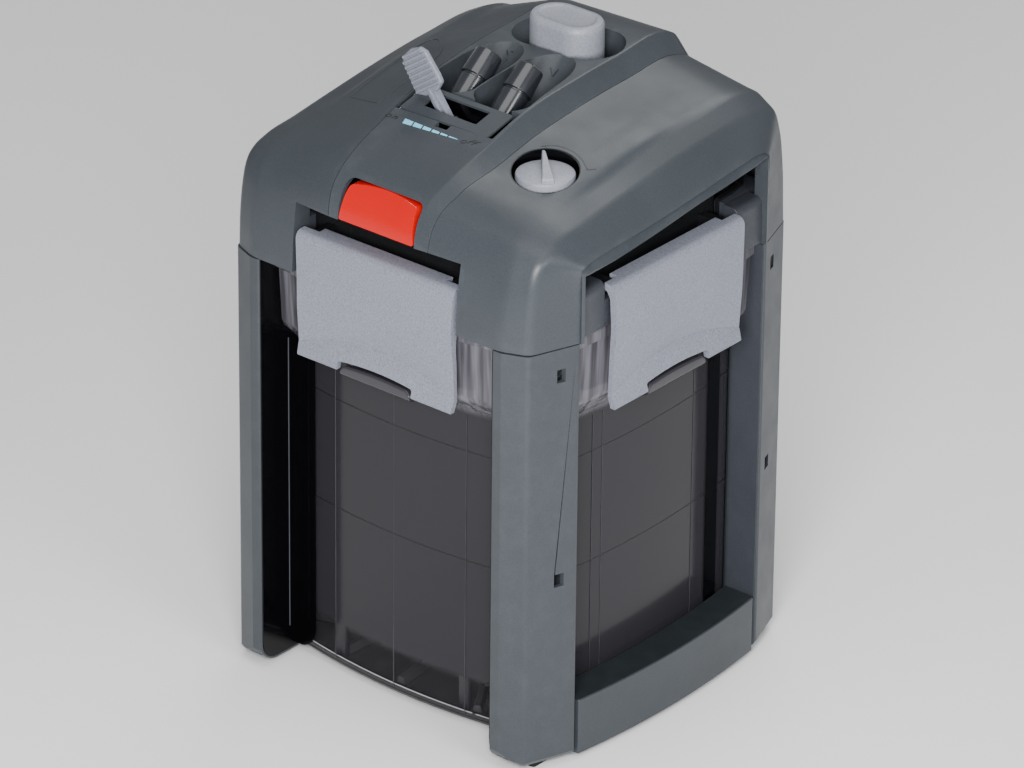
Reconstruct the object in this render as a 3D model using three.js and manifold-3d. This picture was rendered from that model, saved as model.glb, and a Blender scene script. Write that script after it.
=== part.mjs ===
// Canister filter for aquariums: clear tank in a four-post frame, pump head with four clips,
// hose adapter with shut-off lever, release button, bypass dial and priming button.
// Millimetres, +Z up, -Y is the front (release button side), origin at the middle of the base.
import * as THREE from 'three';
import { ConvexGeometry } from 'three/addons/geometries/ConvexGeometry.js';
import { mergeVertices } from 'three/addons/utils/BufferGeometryUtils.js';
import Module from 'manifold-3d';

const wasm = await Module();
wasm.setup();

// ---- Driving dimensions ----
const GAP = 0.4;                 // clearance between neighbouring pieces
const WALL = 3;                  // moulded wall thickness
const SEAM_Z = 262.7;            // joint between tank frame and pump head

// Tank: half sizes at mid-side, how far the sides bow, and the flared collar and rim above.
const TANK = { x: 99.4, y: 94.5, bulgeX: 5.2, bulgeY: 8.4, corner: 12, z0: 4, wall: 3 };
const COLLAR = { z0: 203, z1: 218, x: 110, y: 108.5, topX: 112, topY: 110.5, corner: 20 };
const RIM = { z0: 254, x: 114, y: 113.2, corner: 20 };
const FLOOR_RIB = { xs: [-49, 0, 49], halfW: 2, z1: 12, endGap: 6 };

// Frame: four corner posts, two side rails and the rubber pads.
const PAD = { size: 13, height: 3, x: 98, y: 96 };
const POST = { inX: 84.8, outY: 118.7, facetX: 91.2, arrisX: 106, arrisY: 112.9, sideX: 117, sideY: 81.6 };
const POST_ROUND = 15;
const POST_WINDOW = { y: 93, halfH: 4, levels: [{ z: 246, width: 5 }, { z: 119, width: 6 }] };
const POST_BAY = 12;             // width of the open bay behind a post's front wall
const RAIL = { halfY: 79, z0: 3.3, z1: 38, outX: 117, bulge: 5.6, depth: 21.5, hollowY: 70 };

// Clips, their pins and the lugs that carry them. A side clip stands 2 mm further out.
const OPENING = { halfX: 59.5, topZ: 305, halfY: 80.5, sideTopFrontZ: 304, sideTopRearZ: 318 };
const CLIP = { halfW: 57.5, top: 289, bottom: 213, plate: 4, hookZ: 247, hookDepth: 4.4, notchX: 27 };
const CLIP_FACE = { front: 119, side: 121 };
const PIVOT = { inset: 11, z: 283, pinR: 2, bore: 2.35, barrelR: 4.6 };
const LUG = { inX: 46.5, outX: 52.5, halfH: 4.3, barrelX: 45.8, pinHalf: 52, rootY: 93, clear: 0.5 };
const SIDES = [
  ['front', 0, 'front'],
  ['right', 90, 'side'],
  ['rear', 180, 'front'],
  ['left', 270, 'side'],
];

// Pump head: tray, recesses for the clips, impeller well, water passages and priming cylinder.
const BODY = { x: 103, y: 101, bulge: 4, corner: 24, floorZ: SEAM_Z + 2.8, floor: 3.4, top: 298 };
const SKIRT = { x: 102, y: 100, corner: 15, z0: 250 };
const RECESS = { halfX: 60, depth: 25.5, wall: 3 };
const WELL = { r: 17.2, wall: 2, top: 297, voluteR: 24, voluteZ: 268, z0: 240 };
const PASSAGE = { r: 9, bore: 6.5, z0: 262, top: 299.4 };
const CYLINDER = { r: 17, bore: 14.3, z0: 246, floorZ: 250, portR: 6 };
const SCREW = { r: 1.8, headR: 3.6, hole: 2.3, z0: 277 };
const SCREW_PLACES = [[-86, -82], [86, -82], [-86, 82], [86, 82]];
const SCREW_BOSS = { r: 4.6, z0: 267, holeZ: 276 };
const LID = { z0: 298.4, z1: 301, inset: 3.4, passageR: 9.5, stemHole: 3.8, dialHole: 4.6 };
const MOTOR = { x: 38, y: 30, z0: 270, z1: 296, r: 33 };
const SHAFT = { r: 2.2, z0: 243.5, z1: 292 };
const ROTOR = { bore: 2.6, magnetR: 12.5, z0: 246, z1: 286.5, bladeR: 19, blades: 6, bladeHalf: 1 };
const INTAKE = { r: 27, z0: 236.5, z1: 239.6, eyeR: 15, hubR: 8, spoke: 2 };

// Hose adapter: lever, meshing gears and valve drums, nozzles and the channels that they lie in.
const LEVER = { x: -8.5, y: -38.5, z: 332, lean: 35, stem: 8, shaftR: 3, topCut: 8.5 };
const GEAR = { module: 2, lever: 14, drum: 10, y0: -41, y1: -36 };
const GEAR_CENTRES = GEAR.module * (GEAR.lever + GEAR.drum) / 2;
const DRUM_ANGLE = 1.5 * (360 / GEAR.lever);    // one and a half teeth either side of straight down
const DEG = Math.PI / 180;
const DRUM = {
  z: LEVER.z - GEAR_CENTRES * Math.cos(DRUM_ANGLE * DEG), r: 8.6, y0: -26, y1: 0, clear: 0.5,
  neckR: 4, neckHole: 4.5, port: 5.4,
};
const BLOCK = { x0: -35, x1: 18, y0: -28, y1: 4, z0: 302.2, z1: 326 };
const PORT = { r: 6.2, socketR: 7.8, socketZ: 322.4 };
const BRACKET = { halfX: 6, y0: -33.2, z0: 320, z1: 340, hole: 3.4 };
const NOZZLE = { y: -17, z: 343, tilt: 40, r: 8.2, nutR: 9.05, tipR: 8, bore: 5.5, neck: 15, nut: 17 };
const ELBOW = { r: 7.2, bore: 5.2, z0: 323 };
const SEAL = { rIn: 6.4, rOut: 8.4, z0: 299.7, z1: 301.9 };
const CHANNEL = { xs: [-27.5, 6], y: -9, z: 339, r: 16, skin: 2.4, low: -6, high: 70 };
const SLOT = { x0: -42, x1: 31, y0: -52, y1: -30, z: 350, plate: 3.2, halfX: 19.5, halfY: 6 };

// Knobs and buttons on the covers.
const DIAL = { x: 63.5, y: -48.5, z: 338, r: 16.8, recessR: 19.4, floorZ: 329, stemR: 4, finHalf: 1.6 };
const SHUTTER = { r: 8, z0: 282, z1: 297.4, ventZ: 294 };
const PRIMER = { x: -7.6, y: 56, z: 375, halfX: 23, halfY: 15, basinX: 36, basinY: 19, skirt: 34, step: 2 };
const PISTON = { stemR: 3.2, stemZ: 279.4, sealR: 13.6, sealZ: 275.5 };
const BUTTON = { halfX: 27, z0: 306.4, z1: 327.5, stemR: 6, bore: 4.4, latchX: 12, latchZ: 300.8 };
const GLAND = { x: 72, z: 290, r: 6, bore: 3.4, flange: 2, y0: 106, y1: 121 };

// Filter stack: two media baskets, the prefilter basket on top and the intake riser at the rear right.
const BASKET = { x: 92, y: 86, bulgeX: 4.6, bulgeY: 7, corner: 12, wall: 2, bayX: 56, bayY: 46 };
const GRID = { x0: -60, x1: 36, pitch: 24, width: 12, y0: -64, y1: 30 };
const STACK = [
  { name: 'media_basket_lower', z0: 30, z1: 103 },
  { name: 'media_basket_upper', z0: 105, z1: 178 },
  { name: 'prefilter_basket', z0: 180, z1: 214 },
];
const FILL_GAP = 1;              // between a basket's wall and what fills it
const RISER = { x0: 62, x1: 84, y0: 52, y1: 70, z0: 14, z1: 236, wall: 2 };

// ---- Profiles of the head cover: [y, z] at stations of x ----
const ARRIS = [[-112, 263], [-111, 286], [-107, 309], [-101, 317.5], [-90, 322.5], [-36, 329.5],
  [30, 336.8], [99.5, 337], [107, 319], [113, 263]];
const SHOULDER = [[-118.7, 263], [-117, 285], [-113.7, 302], [-107.4, 317], [-98, 325], [-88, 328.5],
  [-31, 339], [10, 344], [50, 346], [96, 345.5], [108, 334], [115, 300], [118.7, 263]];
const FOOT = [[-117, 310], [-110, 323], [-100, 331], [-70, 338], [-31, 345], [10, 350], [96, 352],
  [108, 341]];
const HOOD = [[-118.7, 304.8], [-115, 317], [-103, 330.5], [-92, 336], [-60, 346], [-21.5, 356],
  [17, 360], [54, 362], [98, 362], [107, 356], [114, 336], [118.4, 304.8]];
const LIP = [[-84, 307.7], [-60, 312], [0, 318], [57, 322.5], [80, 321.5]];
const LIP_X = 120.5;
const HOOD_X = { leftFront: -34, left: -48, taperEndY: 31, right: 30, foot: 40 };

// ---- Materials ----
const colour = (hex, roughness, metalness = 0) =>
  new THREE.MeshStandardMaterial({ color: hex, roughness, metalness });
const housingGrey = colour(0x50585b, 0.6);
const clipGrey = colour(0x9fa1a6, 0.55);
const glossRed = colour(0xe3322a, 0.25);
const glossBlack = colour(0x22262b, 0.15);
const smokeClear = new THREE.MeshStandardMaterial(
  { color: 0x4a474c, roughness: 0.1, transparent: true, opacity: 0.45 });
const innerBlack = colour(0x17181a, 0.5);
const rubber = colour(0x101112, 0.85);
const steel = colour(0xb9bcc0, 0.3, 1);
const ceramic = colour(0xe8e6e0, 0.35);
const coilBlock = colour(0x2b2b2e, 0.6, 0.2);
const basketGrey = colour(0x55555a, 0.5);
const foamBlue = colour(0x2f6fb5, 0.95);
const fleeceWhite = colour(0xeeeeea, 0.95);
const mediaWhite = colour(0xd9d3c6, 0.9);

// ---- Solid helpers ----
const root = new THREE.Group();

// A closed geometry as a solid for joining and cutting.
function solid(geometry) {
  const bare = geometry.index ? geometry.toNonIndexed() : geometry.clone();
  bare.deleteAttribute('normal');
  if (bare.attributes.uv) bare.deleteAttribute('uv');
  const merged = mergeVertices(bare, 1e-4);
  return new wasm.Manifold(new wasm.Mesh({
    numProp: 3,
    vertProperties: new Float32Array(merged.attributes.position.array),
    triVerts: new Uint32Array(merged.index.array),
  }));
}

function geometryOf(body) {
  const mesh = body.getMesh();
  const geometry = new THREE.BufferGeometry();
  geometry.setAttribute('position', new THREE.BufferAttribute(new Float32Array(mesh.vertProperties), 3));
  geometry.setIndex(Array.from(mesh.triVerts));
  geometry.computeVertexNormals();
  return geometry;
}

function add(name, shape, material, parent = root) {
  const geometry = shape.isBufferGeometry ? shape : geometryOf(shape);
  const mesh = new THREE.Mesh(geometry, material);
  mesh.name = name;
  parent.add(mesh);
  return mesh;
}

function box(x0, x1, y0, y1, z0, z1) {
  const geometry = new THREE.BoxGeometry(x1 - x0, y1 - y0, z1 - z0);
  return solid(geometry.translate((x0 + x1) / 2, (y0 + y1) / 2, (z0 + z1) / 2));
}

// A cylinder or cone between two points, r0 at the first point and r1 at the second.
function rod(from, to, r0, r1 = r0, sides = 16) {
  const a = new THREE.Vector3(...from);
  const b = new THREE.Vector3(...to);
  const geometry = new THREE.CylinderGeometry(r1, r0, a.distanceTo(b), sides);
  const turn = new THREE.Quaternion().setFromUnitVectors(
    new THREE.Vector3(0, 1, 0), b.clone().sub(a).normalize());
  geometry.applyQuaternion(turn).translate(...a.add(b).multiplyScalar(0.5).toArray());
  return solid(geometry);
}

// A plan outline extruded from z0 to z1.
function prism(shape, z0, z1, curveSegments = 3) {
  const geometry = new THREE.ExtrudeGeometry(shape, { depth: z1 - z0, bevelEnabled: false, curveSegments });
  return solid(geometry.translate(0, 0, z0));
}

// A [y, z] outline extruded along x from x0 to x1.
function slab(points, x0, x1) {
  const shape = new THREE.Shape(points.map(([y, z]) => new THREE.Vector2(y, z)));
  const geometry = new THREE.ExtrudeGeometry(shape, { depth: x1 - x0, bevelEnabled: false });
  const turn = new THREE.Matrix4().makeBasis(
    new THREE.Vector3(0, 1, 0), new THREE.Vector3(0, 0, 1), new THREE.Vector3(1, 0, 0));
  return solid(geometry.applyMatrix4(turn).translate(x0, 0, 0));
}

// An upright cylinder at a place in plan.
const post = (x, y, z0, z1, r, sides = 16) => rod([x, y, z0], [x, y, z1], r, r, sides);

// The tightest convex body round a set of [x, y, z] points.
function hull(points) {
  return solid(new ConvexGeometry(points.map((p) => new THREE.Vector3(...p))));
}

// Round body about a vertical axis from a closed [r, z] profile.
function turned(profile, x, y, sides = 20) {
  const points = profile.map(([r, z]) => new THREE.Vector2(r, z));
  const geometry = new THREE.LatheGeometry(points, sides);
  return solid(geometry.rotateX(Math.PI / 2).translate(x, y, 0));
}

function ring(rIn, rOut, z0, z1, x, y, sides = 20) {
  return turned([[rIn, z0], [rOut, z0], [rOut, z1], [rIn, z1], [rIn, z0]], x, y, sides);
}

const cutAll = (body, ...tools) => tools.reduce((left, tool) => left.subtract(tool), body);
const joinAll = (...bodies) => bodies.reduce((left, right) => left.add(right));

// A square plan with bulging sides and round corners; hx and hy are the half sizes at mid-side.
function bulgedPlan(hx, hy, bulgeX, bulgeY, r) {
  const cx = hx - bulgeX;
  const cy = hy - bulgeY;
  const shape = new THREE.Shape();
  shape.moveTo(cx, -cy + r);
  shape.quadraticCurveTo(hx + bulgeX, 0, cx, cy - r);
  shape.quadraticCurveTo(cx, cy, cx - r, cy);
  shape.quadraticCurveTo(0, hy + bulgeY, -cx + r, cy);
  shape.quadraticCurveTo(-cx, cy, -cx, cy - r);
  shape.quadraticCurveTo(-hx - bulgeX, 0, -cx, -cy + r);
  shape.quadraticCurveTo(-cx, -cy, -cx + r, -cy);
  shape.quadraticCurveTo(0, -hy - bulgeY, cx - r, -cy);
  shape.quadraticCurveTo(cx, -cy, cx, -cy + r);
  return shape;
}

function ovalPlan(hx, hy) {
  const shape = new THREE.Shape();
  shape.absarc(hx - hy, 0, hy, -Math.PI / 2, Math.PI / 2);
  shape.absarc(-hx + hy, 0, hy, Math.PI / 2, Math.PI * 1.5);
  shape.closePath();
  return shape;
}

// X of the inlet and of the outlet nozzle, over the two valve drums.
const NOZZLE_XS = [-1, 1].map((s) => LEVER.x + s * GEAR_CENTRES * Math.sin(DRUM_ANGLE * DEG));

const ovalPrism = (hx, hy, z0, z1, x, y) => prism(ovalPlan(hx, hy), z0, z1, 8).translate([x, y, 0]);

// ---- Tank ----
// Outside of the tank grown by a clearance: straight lower part, flared collar and rim.
function tankBody(grow, z0, z1) {
  const plan = (hx, hy, r) =>
    bulgedPlan(hx + grow, hy + grow, TANK.bulgeX, TANK.bulgeY, Math.max(r + grow, 2)).getPoints(3);
  const level = (hx, hy, r, z) => plan(hx, hy, r).map((p) => [p.x, p.y, z]);
  const lowerPlan = bulgedPlan(TANK.x + grow, TANK.y + grow, TANK.bulgeX, TANK.bulgeY, TANK.corner + grow);
  const flare = hull([
    ...level(TANK.x, TANK.y, TANK.corner, COLLAR.z0 - grow),
    ...level(COLLAR.x, COLLAR.y, COLLAR.corner, COLLAR.z1 - grow),
    ...level(COLLAR.topX, COLLAR.topY, COLLAR.corner, z1),
  ]);
  return prism(lowerPlan, z0, COLLAR.z1).add(flare);
}

const rimPrism = (grow, z0, z1) =>
  prism(bulgedPlan(RIM.x + grow, RIM.y + grow, TANK.bulgeX, TANK.bulgeY, RIM.corner), z0, z1);

function buildTank() {
  const outside = tankBody(0, TANK.z0, SEAM_Z - GAP).add(rimPrism(0, RIM.z0, SEAM_Z - GAP));
  const inside = tankBody(-TANK.wall, TANK.z0 + TANK.wall, SEAM_Z + 5);
  let tank = outside.subtract(inside);
  // Raised ribs on the floor carry the lowest basket.
  const ribEnd = TANK.y - FLOOR_RIB.endGap;
  for (const x of FLOOR_RIB.xs) {
    const { halfW, z1 } = FLOOR_RIB;
    tank = tank.add(box(x - halfW, x + halfW, -ribEnd, ribEnd, TANK.z0 + 1, z1));
  }
  add('canister_tank', tank, smokeClear);
}

// ---- Frame: corner posts, rails and foot pads ----
function postSolid() {
  const plan = (corners) => new THREE.Shape(corners.map(([x, y]) => new THREE.Vector2(x, y)));
  const outline = plan([
    [POST.inX, POST.outY],
    [POST.facetX, POST.outY],
    [POST.arrisX, POST.arrisY],
    [POST.sideX, POST.sideY],
    [TANK.x - TANK.bulgeX, POST.sideY],
    [POST.inX, TANK.y - TANK.bulgeY],
  ]);
  const hollow = plan([
    [POST.inX + WALL, POST.outY - WALL],
    [POST.facetX - GAP, POST.outY - WALL],
    [POST.arrisX - WALL + GAP, POST.arrisY - WALL],
    [POST.sideX - WALL - GAP, POST.sideY + WALL],
    [POST.inX + WALL, POST.sideY + WALL],
  ]);
  const top = SEAM_Z - GAP;
  const base = PAD.height + GAP;
  const outside = POST.outY + 1;
  const profile = [
    [POST.inX - POST_ROUND, base],
    [outside - POST_ROUND, base],
    [outside - POST_ROUND * 0.3, base + POST_ROUND * 0.3],
    [outside, base + POST_ROUND],
    [outside, top],
    [POST.inX - POST_ROUND, top],
  ];
  const { y, halfH, levels } = POST_WINDOW;
  const windows = levels.map(({ z, width }) =>
    box(POST.arrisX - 1, outside, y - width / 2, y + width / 2, z - halfH, z + halfH));
  const bay = box(POST.inX + WALL, POST.inX + POST_BAY, POST.sideY + WALL, POST.outY - WALL,
    base + WALL, top - WALL);
  const body = prism(outline, base, top).intersect(slab(profile, POST.sideY - 1, outside));
  return cutAll(body, prism(hollow, base + WALL, top - WALL), ...windows, bay);
}

const CORNERS = [
  ['front_right', 1, -1],
  ['front_left', -1, -1],
  ['rear_right', 1, 1],
  ['rear_left', -1, 1],
];

function buildFrame() {
  const clearTank = tankBody(GAP, TANK.z0 - 5, SEAM_Z + 5).add(rimPrism(GAP, RIM.z0 - GAP, SEAM_Z + 5));
  for (const [corner, sx, sy] of CORNERS) {
    const mirrored = postSolid().scale([sx, sy, 1]);
    add(`corner_post_${corner}`, mirrored.subtract(clearTank), housingGrey);
    const pad = new THREE.BoxGeometry(PAD.size, PAD.size, PAD.height);
    add(`foot_pad_${corner}`, pad.translate(sx * PAD.x, sy * PAD.y, PAD.height / 2), rubber);
  }
  const inX = RAIL.outX - RAIL.depth;
  const plan = new THREE.Shape();
  plan.moveTo(RAIL.outX, -RAIL.halfY);
  plan.quadraticCurveTo(RAIL.outX + RAIL.bulge * 2, 0, RAIL.outX, RAIL.halfY);
  plan.lineTo(inX, RAIL.halfY);
  plan.quadraticCurveTo(inX + RAIL.bulge * 2, 0, inX, -RAIL.halfY);
  plan.closePath();
  // The hollow is open below: the part that the plan moved in and the plan moved out share.
  const moved = (shift) => prism(plan, RAIL.z0 - 1, RAIL.z1 - WALL, 8).translate([shift, 0, 0]);
  const middle = box(0, RAIL.outX * 2, -RAIL.hollowY, RAIL.hollowY, 0, RAIL.z1);
  const hollow = moved(-WALL).intersect(moved(WALL)).intersect(middle);
  const rail = prism(plan, RAIL.z0, RAIL.z1, 8).subtract(hollow);
  for (const [side, sx] of [['right', 1], ['left', -1]]) {
    add(`side_rail_${side}`, rail.scale([sx, 1, 1]).subtract(clearTank), housingGrey);
  }
}

// ---- Sealing ring and pump head body ----
function buildSealingRing() {
  const outer = bulgedPlan(RIM.x - 2, RIM.y - 2, TANK.bulgeX, TANK.bulgeY, RIM.corner - 2);
  const inner = bulgedPlan(RIM.x - 5.5, RIM.y - 5.5, TANK.bulgeX, TANK.bulgeY, RIM.corner - 5);
  const band = prism(outer, SEAM_Z, SEAM_Z + 2.4).subtract(prism(inner, SEAM_Z - 1, SEAM_Z + 4));
  add('sealing_ring', band, rubber);
}

// The two lugs that carry the clip pin of the front side.
function clipLugs(face) {
  const y = -(face - PIVOT.inset);
  const lug = (x0, x1) => {
    const block = box(x0, x1, y - LUG.halfH, -LUG.rootY, PIVOT.z - LUG.halfH, PIVOT.z + LUG.halfH);
    return block.subtract(rod([x0 - 1, y, PIVOT.z], [x1 + 1, y, PIVOT.z], PIVOT.bore));
  };
  return lug(-LUG.outX, -LUG.inX).add(lug(LUG.inX, LUG.outX));
}

function buildHeadBody() {
  const plan = (inset) => bulgedPlan(BODY.x - inset, BODY.y - inset, BODY.bulge, BODY.bulge,
    BODY.corner - inset);
  const tray = prism(plan(0), BODY.floorZ, BODY.top - 5)
    .add(prism(plan(3), BODY.top - 6, BODY.top))
    .subtract(prism(plan(WALL), BODY.floorZ + BODY.floor, BODY.top + 1));
  const skirtPlan = (inset) => bulgedPlan(SKIRT.x - inset, SKIRT.y - inset, TANK.bulgeX, TANK.bulgeY,
    SKIRT.corner - inset / 1.5);
  const skirt = prism(skirtPlan(0), SKIRT.z0, BODY.floorZ + 1)
    .subtract(prism(skirtPlan(WALL), SKIRT.z0 - 1, BODY.floorZ));
  const topFlange = rimPrism(-1, BODY.floorZ, BODY.floorZ + BODY.floor);
  let body = joinAll(tray, skirt, topFlange);
  // A recess at the middle of each side, its back wall, then the lugs.
  for (const [, turn, kind] of SIDES) {
    const face = CLIP_FACE[kind];
    const back = face - RECESS.depth;
    const recess = box(-RECESS.halfX, RECESS.halfX, -130, -back, SEAM_Z + 7, BODY.top + 5);
    const halfX = RECESS.halfX + 1;
    const wall = box(-halfX, halfX, -back, -back + RECESS.wall, BODY.floorZ, BODY.top);
    body = body.subtract(recess.rotate([0, 0, turn]));
    body = body.add(wall.rotate([0, 0, turn]));
    body = body.add(clipLugs(face).rotate([0, 0, turn]));
  }
  // Impeller well: a can closed at the top, standing in the stator, with the volute below it.
  const { x: mx, y: my } = MOTOR;
  const well = post(mx, my, WELL.z0, WELL.voluteZ, WELL.voluteR + WALL, 20)
    .add(post(mx, my, WELL.voluteZ - 2, WELL.top, WELL.r + WELL.wall, 20));
  const wellInside = post(mx, my, WELL.z0 - 1, WELL.voluteZ - 5, WELL.voluteR, 20)
    .add(post(mx, my, WELL.voluteZ - 6, WELL.top - WELL.wall, WELL.r, 20));
  body = body.add(well).subtract(wellInside);
  // Water passages up to the hose adapter.
  for (const x of NOZZLE_XS) {
    body = body.add(post(x, NOZZLE.y, PASSAGE.z0, PASSAGE.top, PASSAGE.r, 12))
      .subtract(post(x, NOZZLE.y, WELL.z0, PASSAGE.top + 1, PASSAGE.bore, 12));
  }
  // Priming cylinder with its port below.
  const { x: px, y: py } = PRIMER;
  body = body.add(post(px, py, CYLINDER.z0, BODY.top, CYLINDER.r))
    .subtract(post(px, py, CYLINDER.floorZ, BODY.top + 2, CYLINDER.bore))
    .subtract(post(px, py, WELL.z0, CYLINDER.floorZ + 1, CYLINDER.portR, 12));
  for (const [x, y] of SCREW_PLACES) {
    body = body.add(post(x, y, SCREW_BOSS.z0, BODY.top, SCREW_BOSS.r, 10))
      .subtract(post(x, y, SCREW_BOSS.holeZ, BODY.top + 2, SCREW.hole, 8));
  }
  add('pump_head_body', body, innerBlack);
}

// Lid over the dry side of the pump head: motor, passages and priming cylinder.
function buildHeadLid() {
  const { z0, z1, inset } = LID;
  const hole = (x, y, r, sides = 12) => post(x, y, z0 - 8, z1 + 9, r, sides);
  const plan = bulgedPlan(BODY.x - inset, BODY.y - inset, BODY.bulge, BODY.bulge, BODY.corner - inset);
  const recesses = SIDES.map(([, turn, kind]) =>
    box(-RECESS.halfX - 1, RECESS.halfX + 1, -130, -(CLIP_FACE[kind] - RECESS.depth - GAP), z0 - 1, z1 + 1)
      .rotate([0, 0, turn]));
  const passages = NOZZLE_XS.map((x) => hole(x, NOZZLE.y, LID.passageR));
  const screws = SCREW_PLACES.map(([x, y]) => hole(x, y, SCREW.hole, 8));
  const lid = cutAll(prism(plan, z0, z1), ...recesses, ...passages, ...screws,
    hole(PRIMER.x, PRIMER.y, LID.stemHole), hole(DIAL.x, DIAL.y, LID.dialHole));
  add('pump_head_lid', lid, innerBlack);
}

// ---- Covers ----
const station = (profile, x) => profile.map(([y, z]) => [x, y, z]);

function lowerCoverPoints() {
  const foot = (x) => station(FOOT, x);
  return [
    ...station(ARRIS, POST.arrisX), ...station(ARRIS, -POST.arrisX),
    ...station(SHOULDER, POST.facetX), ...station(SHOULDER, -POST.facetX),
    ...foot(HOOD_X.foot), ...foot(-HOOD_X.foot - 12),
    ...station(LIP, LIP_X), ...station(LIP, -LIP_X),
    ...[-1, 1].flatMap((sx) => [-1, 1].map((sy) => [sx * POST.sideX, sy * POST.sideY, SEAM_Z])),
    ...[-1, 1].map((sx) => [sx * LIP_X, 0, SEAM_Z]),
    ...[-1, 1].map((sx) => [sx * POST.sideX, -POST.sideY, 304]),
  ];
}

function hoodPoints() {
  const left = HOOD.map(([y, z]) => {
    const t = Math.min(1, (y + POST.outY) / (HOOD_X.taperEndY + POST.outY));
    return [HOOD_X.leftFront + (HOOD_X.left - HOOD_X.leftFront) * t, y, z - 3 * t];
  });
  return [...left, ...station(HOOD, HOOD_X.right), ...station(FOOT, HOOD_X.foot),
    [HOOD_X.leftFront, -118.7, 290], [HOOD_X.foot, -118.7, 290],
    [HOOD_X.left, 118.4, 290], [HOOD_X.foot, 118.4, 290]];
}

const shrink = (points, by) => points.map(([x, y, z]) =>
  [x * (1 - by / 117), y * (1 - by / 118.7), SEAM_Z - 6 + (z - SEAM_Z + 6) * (1 - by / 95)]);

// Direction of the tilted hose nozzles.
const TILT = [0, Math.cos(NOZZLE.tilt * DEG), Math.sin(NOZZLE.tilt * DEG)];
const along = (x, y, z, s) => [x, y + TILT[1] * s, z + TILT[2] * s];

// Two round-bottomed channels, open upwards, that the nozzles lie in.
function channels(grow) {
  const sides = 16;
  const ringAt = (x, s, rise) => Array.from({ length: sides }, (_, i) => {
    const a = i * 2 * Math.PI / sides;
    const across = Math.sin(a) * (CHANNEL.r + grow);
    const [cx, cy, cz] = along(x, CHANNEL.y, CHANNEL.z, s);
    return [cx + Math.cos(a) * (CHANNEL.r + grow), cy - TILT[2] * across, cz + TILT[1] * across + rise];
  });
  const tubes = CHANNEL.xs.map((x) => hull([0, 30].flatMap((rise) =>
    [...ringAt(x, CHANNEL.low - grow, rise), ...ringAt(x, CHANNEL.high, rise)])));
  return tubes[0].add(tubes[1]);
}

function coverShell() {
  const outside = hull(lowerCoverPoints()).add(hull(hoodPoints()));
  const inside = hull(shrink(lowerCoverPoints(), WALL)).add(hull(shrink(hoodPoints(), WALL)));
  const shell = outside.subtract(inside).intersect(box(-130, 130, -130, 130, SEAM_Z, 380));
  // Skin of the two nozzle channels, open where the channels cross the slot plate.
  const skin = channels(CHANNEL.skin).intersect(outside).intersect(
    box(-60, 60, SLOT.y1 + 1, 60, BLOCK.z1 + 3, 380));
  return shell.add(skin).subtract(channels(0));
}

// Plan region of the raised centre cover, grown by a clearance.
function centreRegion(grow) {
  const shape = new THREE.Shape([
    [HOOD_X.leftFront - grow, -POST.outY - 1], [HOOD_X.foot + grow, -POST.outY - 1],
    [HOOD_X.foot + grow, 104 + grow], [HOOD_X.left - grow, 104 + grow],
    [HOOD_X.left - grow, HOOD_X.taperEndY],
  ].map(([x, y]) => new THREE.Vector2(x, y)));
  return prism(shape, 300, 380);
}

function openings() {
  const { halfX, halfY, topZ, sideTopFrontZ, sideTopRearZ } = OPENING;
  const front = (y0, y1) => box(-halfX, halfX, y0, y1, SEAM_Z - 8, topZ);
  const profile = [
    [-halfY, SEAM_Z - 8],
    [halfY, SEAM_Z - 8],
    [halfY, sideTopRearZ],
    [-halfY, sideTopFrontZ],
  ];
  return joinAll(front(-130, -90), front(90, 130), slab(profile, 104, 130), slab(profile, -130, -104));
}

function buildCovers() {
  const { x: px, y: py, basinX, basinY } = PRIMER;
  const cup = (r, z0, z1) => post(DIAL.x, DIAL.y, z0, z1, r, 28);
  const shell = coverShell().subtract(openings());

  const dialCup = cup(DIAL.recessR + WALL, DIAL.floorZ - WALL, DIAL.floorZ + 4);
  const head = shell.subtract(centreRegion(0.3)).add(dialCup.intersect(hull(lowerCoverPoints())));
  const dialHole = post(DIAL.x, DIAL.y, DIAL.floorZ - 9, DIAL.floorZ + 11, LID.dialHole);
  const glandBore = (y1, r) => rod([GLAND.x, 100, GLAND.z], [GLAND.x, y1, GLAND.z], r + GAP);
  add('head_cover', cutAll(head, cup(DIAL.recessR, DIAL.floorZ, 360), dialHole, glandBore(130, GLAND.r),
    glandBore(111, GLAND.r + GLAND.flange)), housingGrey);

  const primerBasin = ovalPrism(basinX, basinY, 330, 380, px, py + 1);
  const primerCup = ovalPrism(basinX + 2, basinY + 2, 342, 357, px, py + 1);
  const springRib = box(-5, 5, -82.6, -80.6, 309, 336);
  const slotWell = box(SLOT.x0, SLOT.x1, SLOT.y0, SLOT.y1 + 2, 336, 380);
  const buttonWell = box(-BUTTON.halfX - GAP, BUTTON.halfX + GAP, -125, -92, 300, BUTTON.z1 + GAP);
  const necks = NOZZLE_XS.map((x) => post(x, NOZZLE.y, 320, 360, NOZZLE.r + 0.8));
  const centre = joinAll(shell.intersect(centreRegion(0)), primerCup, springRib);
  add('centre_cover', cutAll(centre, primerBasin, slotWell, buttonWell, ...necks), housingGrey);
}

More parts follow.
